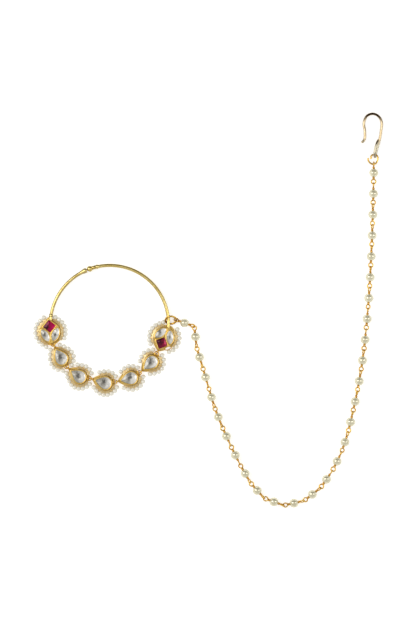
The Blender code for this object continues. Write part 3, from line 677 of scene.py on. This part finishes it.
# Painted reflection: a dark patch round the reflection spot.
off_reflection = worked(foiled, "ShaderNodeVectorMath", "SUBTRACT", wander, entry.outputs["Window"])
oval = worked(foiled, "ShaderNodeVectorMath", "MULTIPLY", off_reflection, (2.0, 1.35, 0))
reach = worked(foiled, "ShaderNodeVectorMath", "LENGTH", oval)
past_reflection = ranged(foiled, reach, 0.45, 1.2)
axes = nodes.new("ShaderNodeSeparateXYZ")
links.new(wander, axes.inputs[0])
# Painted light: the colour goes from the shade tone on the left to the light tone on the right.
lit_to_right = ranged(foiled, axes.outputs["X"], -0.5, 0.6)
facets = nodes.new("ShaderNodeTexVoronoi")
tuned(facets, {"Scale": 1100})
links.new(place.outputs["Object"], facets.inputs["Vector"])
facet_tone = nodes.new("ShaderNodeSeparateColor")
links.new(facets.outputs["Color"], facet_tone.inputs["Color"])
# Painted glints: a random brightness for each small cell.
painted_glints = ranged(foiled, facet_tone.outputs["Red"], 0.0, 1.0, 0.66, 1.0)
lit_and_shaded_sides = mixed(foiled, lit_to_right, entry.outputs["Shade"], entry.outputs["Light"])
with_dark_reflection = mixed(foiled, past_reflection, entry.outputs["Dark"], lit_and_shaded_sides)
faceted = worked(foiled, "ShaderNodeVectorMath", "SCALE", with_dark_reflection, None, None, painted_glints)
links.new(faceted, result.inputs["Color"])
links.new(facets.outputs["Distance"], result.inputs["Height"])


def foiled_stone(name, light, shade, dark, reflection_spot, metallic, gloss):
    """A glassy stone over foil, painted lighter on the right and with a painted dark reflection in one spot.
    A faint glow, painted light, stands in for the light that the foil throws back through it."""
    surface = bpy.data.materials.new(name)
    surface.use_nodes = True
    nodes, links = surface.node_tree.nodes, surface.node_tree.links
    shader = nodes["Principled BSDF"]
    # The emission is painted light, a faint glow in the foil's colour.
    tuned(shader, {"Metallic": metallic, "Roughness": 0.10, "Emission Strength": PAINTED_STONE_GLOW})
    tuned(shader, {"Coat Weight": gloss, "Coat Roughness": 0.02, "Coat IOR": 1.6})
    foil = nodes.new("ShaderNodeGroup")
    foil.node_tree = foiled
    tuned(foil, {"Light": (*light, 1), "Shade": (*shade, 1), "Dark": (*dark, 1), "Window": reflection_spot})
    links.new(foil.outputs["Color"], shader.inputs["Base Color"])
    links.new(foil.outputs["Color"], shader.inputs["Emission Color"])
    bumped(surface.node_tree, foil.outputs["Height"], 0.2, 0.1 * MM)
    return surface


crystal = foiled_stone(
    "foiled_crystal", (1.0, 0.985, 0.94), (0.50, 0.48, 0.42), (0.15, 0.14, 0.12), (-0.27, 0.20, 0), 0.15, 1.0
)
bright_ruby = foiled_stone(
    "bright_ruby", (0.80, 0.0, 0.13), (0.12, 0.0, 0.02), (0.07, 0.0, 0.012), (-0.6, 0.1, 0), 0.6, 0.15
)
dark_ruby = foiled_stone(
    "dark_ruby", (0.36, 0.0, 0.05), (0.20, 0.0, 0.03), (0.09, 0.0, 0.015), (-0.3, 0.4, 0), 0.6, 0.25
)


def cut_stone(name, kind, outline, origin, axis, surface, slot, node):
    """A stone cut as a gem cutter does: points of the girdle, the crown and the table, then flats."""
    cut = CROWN_ROWS[kind]
    middle = Vector((*cut["middle"], 0))
    stone = blank(name, [point + STONE_SEAT * UP for point in outline])
    rough = []
    for i, (share, rise) in enumerate(cut["rows"]):
        for k in range(cut["facets"]):
            spot = (k + 0.5 * (i % 2)) / cut["facets"] * len(outline)
            first = outline[int(spot) % len(outline)]
            second = outline[(int(spot) + 1) % len(outline)]
            point = first.lerp(second, spot % 1)
            rough.append(middle + share * (point - middle) + (GIRDLE_HEIGHT + rise * CROWN_HEIGHT) * UP)
    bpy.ops.object.mode_set(mode="EDIT")
    bpy.ops.mesh.select_all(action="SELECT")
    lift = GIRDLE_HEIGHT - STONE_SEAT
    bpy.ops.mesh.extrude_region_move(TRANSFORM_OT_translate={"value": (0, 0, lift)})
    bpy.ops.object.mode_set(mode="OBJECT")
    start = len(stone.data.vertices)
    stone.data.vertices.add(len(rough))
    for vertex, point in zip(stone.data.vertices[start:], rough):
        vertex.co = point
    bpy.ops.object.mode_set(mode="EDIT")
    bpy.ops.mesh.select_mode(type="VERT")
    bpy.ops.mesh.select_all(action="SELECT")
    bpy.ops.mesh.convex_hull()
    bpy.ops.mesh.normals_make_consistent(inside=False)
    bpy.ops.object.mode_set(mode="OBJECT")
    bpy.ops.object.shade_flat()
    settle(stone, origin, axis)
    half_width = max(point.x for point in outline)
    from_middle = stone.data.uv_layers.new(name="from_middle")
    for corner in stone.data.loops:
        offset = (stone.data.vertices[corner.vertex_index].co - origin) / half_width
        from_middle.data[corner.index].uv = (offset.x, offset.y)
    finish_piece(stone, surface, slot, node)


for number, (origin, row) in enumerate(zip(pear_origins, PEARS), 1):
    outline = pear_outline(0.06 * MM)
    node = f"pear_stone_{number}"
    cut_stone(f"crystal_pear_{number}", "pear", outline, origin, row["axis"], crystal, "foiled_crystal", node)
for side, origin in cluster_origins.items():
    axis = CLUSTERS[side]["axis"]
    for number, row in enumerate(CLUSTER_STONES):
        spot = placed(cluster_place(row["across"], row["along"]), origin, axis)
        turn = axis + row["turn"]
        if row["stone"] == "ruby":
            red = bright_ruby if side == "left" else dark_ruby
            cut_stone(f"{side}_ruby", "ruby", ruby_outline(0), spot, turn, red, "ruby", f"ruby_{side}")
        else:
            node = f"marquise_{side}_{number}"
            name = f"crystal_{node}"
            outline = marquise_outline(0)
            cut_stone(name, "marquise", outline, spot, turn, crystal, "foiled_crystal", node)

# The links: plain closed eyes of round wire, soldered to the bezels. A flat eye at a setting's
# round end holds the standing eye at the next one's tip.
link_gold = gold("link_gold", (0.96, 0.66, 0.16), (0.84, 0.48, 0.07), (0.46, 0.22, 0.02), 500, 0.2, 0.04 * MM)


def closed_ring(name, centre, axis, radius, wire):
    """A ring of wire about an axis."""
    turn = axis.to_track_quat("Z", "Y").to_matrix().to_4x4()
    bpy.ops.object.select_all(action="DESELECT")
    bpy.ops.mesh.primitive_torus_add(
        major_segments=40, minor_segments=14, major_radius=radius, minor_radius=wire / 2
    )
    ring = bpy.context.object
    ring.name = name
    ring.data.transform(Matrix.Translation(centre) @ turn)
    bpy.ops.object.shade_smooth()
    return ring


def link_eye(name, foot, angle, flat):
    """An eye whose back touches a bezel at its foot."""
    ahead = direction(angle)
    centre = foot + EYE_RADIUS * ahead + EYE_HEIGHT * UP
    axis = UP if flat else Vector((-ahead.y, ahead.x, 0))
    ring = closed_ring(name, centre, axis, EYE_RADIUS, EYE_WIRE)
    finish_piece(ring, link_gold, "link_gold")


for side, origin in cluster_origins.items():
    row = CLUSTERS[side]
    foot = placed(cluster_place(*row["eye_foot"]), origin, row["axis"])
    link_eye(f"{side}_cluster_eye", foot, row["eye_angle"], side == "left")
for number, (origin, row) in enumerate(zip(pear_origins, PEARS), 1):
    link_eye(f"pear_tip_eye_{number}", origin + TIP_WALL * direction(row["axis"]), row["axis"], False)
    link_eye(f"pear_end_eye_{number}", origin + ROUND_WALL * direction(row["exit"]), row["exit"], True)

# The halos: strings of small natural pearls round every setting. Short stitches of fine wire run
# over the flange from the bezel's wall to the pearls. The pearls lie along the solids' tubes, which
# are 1.6 mm thick, and are drawn up to 1.8 mm wide.
SEED_PEARL = 1.6 * MM
SEED_CLEARANCE = 0.2 * MM
SEED_PITCH = 1.62 * MM
SEED_FULLEST = 1.74 * MM
SEED_ROOM = 1.45 * MM
STITCH_WIRE = 0.28 * MM
STITCHES = 5
HALO_GROWTH = FLANGE_WIDTH + SEED_CLEARANCE + SEED_PEARL / 2
PEAR_HALO = {
    "outer": {"from_tip": 2.5 * MM, "from_exit": 2.1 * MM},
    "inner": {"from_tip": 2.9 * MM, "from_exit": 2.0 * MM},
}
CLUSTER_HALO = {
    "left": ((0.05, 0.45), (-0.065, -0.43)),
    "right": ((0.07, 0.42), (-0.11, -0.43)),
}

nacre, entry, result = shared_effect(
    "nacre",
    {"Body": "Color", "Shade": "Color", "Scale": "Float", "Polish": "Float"},
    {"Color": "Color", "Roughness": "Float", "Height": "Float"},
)
nodes, links = nacre.nodes, nacre.links
place = nodes.new("ShaderNodeTexCoord")
layers = nodes.new("ShaderNodeTexNoise")
tuned(layers, {"Detail": 4, "Roughness": 0.6})
links.new(place.outputs["Object"], layers.inputs["Vector"])
links.new(entry.outputs["Scale"], layers.inputs["Scale"])
spread = ranged(nacre, layers.outputs["Fac"], 0.36, 0.68)
tint = mixed(nacre, spread, entry.outputs["Body"], entry.outputs["Shade"])
satin = worked(
    nacre, "ShaderNodeMath", "MULTIPLY_ADD", layers.outputs["Fac"], 0.12, entry.outputs["Polish"]
)
links.new(tint, result.inputs["Color"])
links.new(satin, result.inputs["Roughness"])
links.new(layers.outputs["Fac"], result.inputs["Height"])


def pearl_finish(name, body, shade, light_and_shade_rings, lustre, painted_glow, gloss, scale, polish, ripple):
    """Nacre: cloudy layers under a gloss, a painted glow, and painted highlight and shade in rings to the
    edge.
    """
    surface = bpy.data.materials.new(name)
    surface.use_nodes = True
    nodes, links = surface.node_tree.nodes, surface.node_tree.links
    shader = nodes["Principled BSDF"]
    # The emission is painted light, a faint glow in the body's colour.
    tuned(shader, {"Metallic": lustre, "Emission Color": (*body, 1), "Emission Strength": painted_glow})
    tuned(shader, {"Coat Weight": 1.0, "Coat Roughness": 0.08, "Coat IOR": gloss})
    layered = nodes.new("ShaderNodeGroup")
    layered.node_tree = nacre
    tuned(layered, {"Body": (*body, 1), "Shade": (*shade, 1), "Scale": scale, "Polish": polish})
    painted_rings = nodes.new("ShaderNodeValToRGB")
    while len(painted_rings.color_ramp.elements) < len(light_and_shade_rings):
        painted_rings.color_ramp.elements.new(0.5)
    for stop, (place, tone) in zip(painted_rings.color_ramp.elements, light_and_shade_rings):
        stop.position = place
        stop.color = (*tone, 1)
    # Painted light and shade: the colour is toned in rings by how far the surface turns from the eye.
    links.new(facing(surface.node_tree), painted_rings.inputs["Fac"])
    ring_painted_color = mixed(surface.node_tree, 1, layered.outputs["Color"], painted_rings.outputs["Color"], "MULTIPLY")
    links.new(ring_painted_color, shader.inputs["Base Color"])
    links.new(layered.outputs["Roughness"], shader.inputs["Roughness"])
    bumped(surface.node_tree, layered.outputs["Height"], 0.5, ripple)
    return surface


# Painted light and shade on the seed pearls: a painted highlight ring, and darker towards the edge.
SEED_LIGHT_AND_SHADE = (
    (0.0, (0.98, 0.97, 0.93)),
    (0.30, (1.0, 1.0, 0.98)),
    (0.58, (0.80, 0.77, 0.66)),
    (0.85, (0.46, 0.42, 0.30)),
)
seed_nacre = pearl_finish(
    "seed_nacre", (0.99, 0.98, 0.93), (0.92, 0.89, 0.80), SEED_LIGHT_AND_SHADE, 0.1, 0.05, 1.4, 900, 0.2, 0.05 * MM
)
# The stitches' gold is paler and brighter than the bezels': painted light against the shade of the bezel's
# wall.
stitch_gold = gold(
    "stitch_gold", (1.0, 0.88, 0.54), (1.0, 0.79, 0.40), (0.80, 0.58, 0.24), 900, 0.4, 0.02 * MM
)

bpy.ops.object.select_all(action="DESELECT")
bpy.ops.mesh.primitive_uv_sphere_add(segments=20, ring_count=12, radius=SEED_FULLEST / 2)
seed_model = bpy.context.object
bpy.ops.object.mode_set(mode="EDIT")
bpy.ops.mesh.select_all(action="SELECT")
bpy.ops.transform.resize(value=(1.04, 1, 0.97))
bpy.ops.object.mode_set(mode="OBJECT")
bpy.ops.object.shade_smooth()

# A stitch as it is bent, from the bezel's wall down towards the pearls: how far out and how high.
stitch_bend = ((0.06, 1.22), (0.4, 1.08), (0.8, 0.94), (1.25, 0.82))
stitch_stations = [(Vector((0, reach * MM, up * MM)), STITCH_WIRE) for reach, up in stitch_bend]
stitch_model = drawn_wire("stitch", stitch_stations, 1)

chance = random.Random(7)


def path_lengths(path):
    """The length along a path at each of its points."""
    lengths = [0.0]
    for first, second in zip(path, path[1:]):
        lengths.append(lengths[-1] + (second - first).length)
    return lengths


def path_place(path, lengths, goal):
    """The point and the direction of a closed path at a length along it."""
    goal %= lengths[-1]
    k = max(j for j, length in enumerate(lengths[:-1]) if length <= goal)
    share = (goal - lengths[k]) / (lengths[k + 1] - lengths[k])
    return path[k].lerp(path[k + 1], share), (path[k + 1] - path[k]).normalized()


def joined(name, copies):
    """One piece made of copies that are already in place."""
    bpy.ops.object.select_all(action="DESELECT")
    for copy in copies:
        copy.select_set(True)
    bpy.context.view_layer.objects.active = copies[0]
    bpy.ops.object.join()
    whole = bpy.context.object
    whole.name = name
    whole.data.name = name
    return whole


def copy_at(model, matrix):
    """A copy of a model with its own mesh, in place."""
    copy = model.copy()
    copy.data = model.data.copy()
    copy.data.transform(matrix)
    bpy.context.scene.collection.objects.link(copy)
    return copy


strung_places = []


def strung_halo(name, outline, start, end, origin, axis, node):
    """Pearls side by side along a stretch of an outline, with stitches behind each. Where two
    strings meet, a pearl that has no room beside the other string's is left off."""
    loop = [*outline, outline[0]]
    lengths = path_lengths(loop)
    count = max(2, round(abs(end - start) / SEED_PITCH))
    pearls, stitches, own_places = [], [], []
    home = setting_home(origin, axis)
    for i in range(count + 1):
        place, along = path_place(loop, lengths, start + (end - start) * i / count)
        size = chance.uniform(0.95, 1.0)
        spin = Matrix.Rotation(chance.uniform(-0.3, 0.3), 4, UP)
        lie = spin @ along.to_track_quat("Z", "Y").to_matrix().to_4x4()
        seat = place + SEED_FULLEST / 2 * UP
        middle = home @ seat
        if any((middle - other).length < SEED_ROOM for other in strung_places):
            continue
        pearls.append(copy_at(seed_model, home @ Matrix.Translation(seat) @ lie @ Matrix.Scale(size, 4)))
        own_places.append(middle)
        for k in range(STITCHES):
            if k and i == count:
                continue
            spot, along = path_place(loop, lengths, start + (end - start) * (i + k / STITCHES) / count)
            outward = Vector((along.y, -along.x, 0))
            foot = home @ (spot - HALO_GROWTH * outward)
            outward = home.to_3x3() @ outward
            if (foot + 0.4 * MM * outward - slit_middle).length < SLIT_CLEAR:
                continue
            face = outward.to_track_quat("Y", "Z").to_matrix().to_4x4()
            stitches.append(copy_at(stitch_model, Matrix.Translation(foot) @ face))
    strung_places.extend(own_places)
    halo = joined(name, pearls)
    finish_piece(halo, seed_nacre, "seed_pearl", node)
    bound = joined(f"{name}_stitches", stitches)
    finish_piece(bound, stitch_gold, "link_gold")


for number, (origin, row) in enumerate(zip(pear_origins, PEARS), 1):
    outline = pear_outline(BEZEL_TO_GIRDLE + HALO_GROWTH)
    whole = path_lengths([*outline, outline[0]])[-1]
    bend = math.radians((row["exit"] - row["axis"]) % 360 - 180)
    past = bend * max(point.x for point in outline)
    for side, way in (("outer", 1), ("inner", -1)):
        gap = PEAR_HALO[side]
        start = way * gap["from_tip"]
        end = way * (whole / 2 - gap["from_exit"]) + past
        node = f"seed_pearls_{number}_{side}"
        strung_halo(f"pear_halo_{number}_{side}", outline, start, end, origin, row["axis"], node)
for side, origin in cluster_origins.items():
    outline = cluster_outline(HALO_GROWTH)
    whole = path_lengths([*outline, outline[0]])[-1]
    for number, (first, last) in enumerate(CLUSTER_HALO[side], 1):
        way = math.copysign(0.4 * MM, last)
        start, end = first * whole + way, last * whole - way
        node = f"seed_pearls_{side}_{number}"
        axis = CLUSTERS[side]["axis"]
        strung_halo(f"{side}_halo_{number}", outline, start, end, origin, axis, node)
for model in (seed_model, stitch_model):
    bpy.data.objects.remove(model)

# The jump ring on the right arm: a closed ring of thicker wire that hangs round the hoop's wire
# just above the right cluster, tipped up on one side, and carries the chain.
HOOP_RING_RADIUS = 1.96 * MM
HOOP_RING_WIRE = 0.7 * MM
HOOP_RING_TILT = 46.0
HOOP_RING_HEIGHT = 1.75 * MM
HOOP_RING_SET_BACK = 0.9 * MM
HOOP_RING_FROM_CLUSTER = 2.9 * MM

ring_gold = gold(
    "ring_gold", (0.96, 0.64, 0.15), (0.82, 0.47, 0.07), (0.36, 0.18, 0.02), 450, 0.16, 0.04 * MM
)
on_wire = arm_place("right", arm_whole("right") - HOOP_RING_FROM_CLUSTER)
outward = on_wire - HOOP_CENTRE
outward.z = 0
outward.normalize()
ring_centre = on_wire + HOOP_RING_SET_BACK * outward
ring_centre.z = HOOP_RING_HEIGHT
ring_axis = Matrix.Rotation(math.radians(HOOP_RING_TILT), 3, outward) @ UP
hoop_ring = closed_ring("hoop_ring", ring_centre, ring_axis, HOOP_RING_RADIUS, HOOP_RING_WIRE)
finish_piece(hoop_ring, ring_gold, "link_gold", "hoop_jump_ring")

# The hair chain: 29 cream pearls, each on its own wire, which is looped into an eye at both ends
# and wound three times round the stem. Each eye is hooked through the next pearl's. The solids'
# pearls are 3 mm, and these are drawn fuller, as wide as they look in the photo.
CHAIN_PEARLS = 29
CHAIN_PEARL = 3.0 * MM
PEARL_FULLNESS = (1.05, 1.08)
PEARL_LIFT = 0.11 * MM
EYE_FULLNESS = 1.1
CHAIN_WIRE = 0.44 * MM
WRAP_WIRE = 0.3 * MM
CHAIN_EYE_RADIUS = 0.78 * MM
CHAIN_STEM = 0.25 * MM
CHAIN_COLLAR_LENGTH = 0.61 * MM
CHAIN_CONTACT = 0.06 * MM
CHAIN_START_ANGLE = -10.0
CHAIN_TWISTS = (0, 25, -20, 10, -30, 18, -8)
ROUTE_STEPS = 24

# Its route past the first joint, in millimetres from that joint.
CHAIN_ROUTE = (
    (7.8, -3.1),
    (7.6, -8.6),
    (10.8, -19.6),
    (16.6, -37.5),
    (28.7, -60.8),
    (39.8, -67.0),
    (51.2, -62.0),
    (60.0, -48.0),
    (65.0, -29.5),
    (68.3, -9.6),
    (70.6, 19.1),
    (71.7, 56.9),
    (70.7, 83.6),
)

eye_inset = CHAIN_EYE_RADIUS - CHAIN_WIRE / 2 + CHAIN_CONTACT
half_pitch = CHAIN_PEARL / 2 + CHAIN_COLLAR_LENGTH + CHAIN_STEM + CHAIN_EYE_RADIUS + eye_inset
held = ring_centre + HOOP_RING_RADIUS * outward
chain_start = held - eye_inset * direction(CHAIN_START_ANGLE)
chain_start.z = CHAIN_PEARL / 2
route = [chain_start] + [chain_start + Vector((x, y, 0)) * MM for x, y in CHAIN_ROUTE]
path = smooth_path(route, ROUTE_STEPS)
joints = [chain_start]
for before, after in zip(path, path[1:]):
    while len(joints) <= CHAIN_PEARLS and (after - joints[-1]).length >= 2 * half_pitch:
        near = (before - joints[-1]).length
        far = (after - joints[-1]).length
        joints.append(before.lerp(after, min(max((2 * half_pitch - near) / (far - near), 0.0), 1.0)))

# Painted light and shade on the chain's pearls: a darker middle, a painted highlight ring, darker towards the
# edge and a painted bright rim.
PEARL_LIGHT_AND_SHADE = (
    (0.0, (0.82, 0.80, 0.70)),
    (0.25, (1.0, 1.0, 0.96)),
    (0.50, (0.72, 0.69, 0.50)),
    (0.72, (0.46, 0.42, 0.22)),
    (1.0, (0.70, 0.66, 0.46)),
)
pearl_nacre = pearl_finish(
    "cream_nacre", (0.98, 0.94, 0.75), (0.90, 0.85, 0.62), PEARL_LIGHT_AND_SHADE, 0.35, 0.03, 2.0, 450, 0.12, 0.02 * MM
)

bpy.ops.object.select_all(action="DESELECT")
bpy.ops.mesh.primitive_uv_sphere_add(segments=36, ring_count=22, radius=CHAIN_PEARL / 2)
pearl_model = bpy.context.object
hole = CHAIN_PEARL / 2
pick_faces(pearl_model, lambda face: abs(face.center.z) > 0.97 * hole)
bpy.ops.transform.resize(value=(1, 1, 0.94))
bpy.ops.object.mode_set(mode="OBJECT")
bpy.ops.object.shade_smooth()

# One end of a pearl's wire, with the pearl's centre at the origin and +Z along the chain.
eye_centre = CHAIN_PEARL / 2 + CHAIN_COLLAR_LENGTH + CHAIN_STEM + CHAIN_EYE_RADIUS
stem_top = CHAIN_PEARL / 2 + CHAIN_COLLAR_LENGTH
bend = [Vector((0, 0, 0.8 * CHAIN_PEARL / 2)), Vector((0, 0, stem_top))]
for i in range(25):
    turn = math.radians(-75 + 330 * i / 24)
    height = eye_centre + CHAIN_EYE_RADIUS * math.sin(turn)
    bend.append(Vector((CHAIN_EYE_RADIUS * math.cos(turn), 0, height)))
bend.append(Vector((-0.5 * CHAIN_WIRE, 0.3 * CHAIN_WIRE, stem_top + 0.1 * MM)))
eye_model = drawn_wire("wire_eye", [(point, EYE_FULLNESS * CHAIN_WIRE) for point in bend], 2)
wound = []
for i in range(40):
    turn = math.tau * 3 * i / 39
    reach = (CHAIN_WIRE + WRAP_WIRE) / 2 * 0.9
    height = CHAIN_PEARL / 2 + 0.02 * MM + (CHAIN_COLLAR_LENGTH + 0.05 * MM) * i / 39
    wound.append(Vector((reach * math.cos(turn), reach * math.sin(turn), height)))
wrap_model = drawn_wire("wire_wrap", [(point, WRAP_WIRE) for point in wound], 1)

pearls, eyes, wraps = [], [], []
start_normal = ring_axis.cross(outward)
for i, (first, second) in enumerate(zip(joints, joints[1:])):
    along = (second - first).normalized()
    twist = Matrix.Rotation(math.radians(CHAIN_TWISTS[i % len(CHAIN_TWISTS)]), 3, along)
    normal = start_normal if i == 0 else twist @ UP
    normal = (normal - normal.dot(along) * along).normalized()
    second_normal = Matrix.Rotation(math.pi / 2, 3, along) @ normal
    middle = (first + second) / 2
    for ahead, across in ((-along, normal), (along, second_normal)):
        side = across.cross(ahead)
        lie = Matrix((side, across, ahead)).transposed().to_4x4()
        lie.translation = middle
        eyes.append(copy_at(eye_model, lie))
        wraps.append(copy_at(wrap_model, lie))
    fuller = Matrix.Scale(chance.uniform(*PEARL_FULLNESS), 4)
    pearls.append(copy_at(pearl_model, Matrix.Translation(PEARL_LIFT * UP) @ lie @ fuller))
finish_piece(joined("chain_pearls", pearls), pearl_nacre, "cream_pearl", "pearl_chain")
finish_piece(joined("chain_eyes", eyes), link_gold, "link_gold")
wrap_gold = gold("wrap_gold", (0.95, 0.62, 0.15), (0.80, 0.42, 0.06), (0.46, 0.20, 0.02), 900, 0.2, 0.03 * MM)
finish_piece(joined("chain_wraps", wraps), wrap_gold, "link_gold")
for model in (pearl_model, eye_model, wrap_model):
    bpy.data.objects.remove(model)

# The small jump ring at the hook: it has been prised open, and its tail curls round outside it
# and carries the chain's last eye.
HOOK_RING_RADIUS = 1.25 * MM
HOOK_RING_WIRE = 0.6 * MM
HOOK_RING_HOLDS = (-95, 1.82)
HOOK_RING_ROUTE = (
    (200, 1.0),
    (160, 1.0),
    (120, 1.0),
    (80, 1.0),
    (40, 1.0),
    (0, 1.02),
    (-40, 1.2),
    (-72, 1.6),
    HOOK_RING_HOLDS,
    (-120, 1.9),
    (-150, 1.9),
    (-178, 1.85),
)

last_eye = joints[-1] - eye_inset * (joints[-1] - joints[-2]).normalized()
holds_angle, holds_reach = HOOK_RING_HOLDS
hook_ring_centre = last_eye - holds_reach * HOOK_RING_RADIUS * direction(holds_angle)
turns = [hook_ring_centre + reach * HOOK_RING_RADIUS * direction(angle) for angle, reach in HOOK_RING_ROUTE]
hook_ring = drawn_wire("hook_ring", [(point, HOOK_RING_WIRE) for point in smooth_path(turns, 5)], 5)
finish_piece(hook_ring, ring_gold, "link_gold", "hook_jump_ring")

# The hair hook: one length of paler, half-hard gold wire with a curled tip, bent to a narrow U
# and then to a long slim eye that stands on edge and holds the small jump ring.
HOOK_WIRE = 0.9 * MM
HOOK_HEIGHT = 0.48 * MM
HOOK_EYE_RISE = 2.2 * MM
HOOK_LENGTH = 16.0 * MM
HOOK_WIDTH = 6.4 * MM
HOOK_ROUTE = (
    (-0.700, 0.344, 0.0),
    (-0.530, 0.431, 0.0),
    (-0.515, 0.606, 0.0),
    (-0.570, 0.788, 0.0),
    (-0.415, 0.944, 0.0),
    (-0.080, 1.000, 0.0),
    (0.250, 0.944, 0.0),
    (0.430, 0.806, 0.0),
    (0.383, 0.575, 0.0),
    (0.305, 0.400, 0.0),
    (0.164, 0.200, 0.0),
    (0.078, 0.069, 0.06),
    (0.034, 0.021, 0.5),
    (0.000, 0.075, 0.9),
    (0.039, 0.212, 1.0),
    (0.125, 0.325, 0.95),
    (0.227, 0.406, 0.55),
)

HOOK_DARK_REFLECTION = (67.0 * MM, 69.2 * MM)
HOOK_GREYER = (60.6 * MM, 58.6 * MM)

# The top of the U carries a painted dark reflection on the faces turned towards the camera, and the
# wire is painted greyer towards its eye.
hook_gold = gold(
    "hook_gold", (0.66, 0.54, 0.35), (0.58, 0.45, 0.26), (0.28, 0.17, 0.06), 500, 0.12, 0.02 * MM
)
nodes, links = hook_gold.node_tree.nodes, hook_gold.node_tree.links
place = nodes.new("ShaderNodeTexCoord")
axes = nodes.new("ShaderNodeSeparateXYZ")
links.new(place.outputs["Object"], axes.inputs[0])
# Painted reflection: near black brown across the bend, on the faces turned towards the camera.
at_bend = ranged(hook_gold.node_tree, axes.outputs["Y"], *HOOK_DARK_REFLECTION)
on_top = ranged(hook_gold.node_tree, facing(hook_gold.node_tree), 0.10, 0.50, 1.0, 0.0)
dark_reflection_share = worked(hook_gold.node_tree, "ShaderNodeMath", "MULTIPLY", at_bend, on_top)
# Towards its eye the wire is painted greyer.
at_eye = ranged(hook_gold.node_tree, axes.outputs["Y"], *HOOK_GREYER, 0.0, 0.85)
plain = nodes["Principled BSDF"].inputs["Base Color"].links[0].from_socket
greyer_to_eye = mixed(hook_gold.node_tree, at_eye, plain, (0.47, 0.44, 0.34))
hook_reflection_painted = mixed(hook_gold.node_tree, dark_reflection_share, greyer_to_eye, (0.035, 0.018, 0.01))
links.new(hook_reflection_painted, nodes["Principled BSDF"].inputs["Base Color"])
bends = []
for across, along, height in HOOK_ROUTE:
    offset = Vector((across * HOOK_WIDTH, along * HOOK_LENGTH, HOOK_HEIGHT + height * HOOK_EYE_RISE))
    bends.append(Vector((hook_ring_centre.x, hook_ring_centre.y, 0)) + offset)
line = smooth_path(bends, 6)
stations = []
for i, point in enumerate(line):
    from_end = min(i, len(line) - 1 - i)
    stations.append((point, HOOK_WIRE * (0.72, 0.93)[from_end] if from_end < 2 else HOOK_WIRE))
hair_hook = drawn_wire("hook", stations)
finish_piece(hair_hook, hook_gold, "hook_gold", "hair_hook")
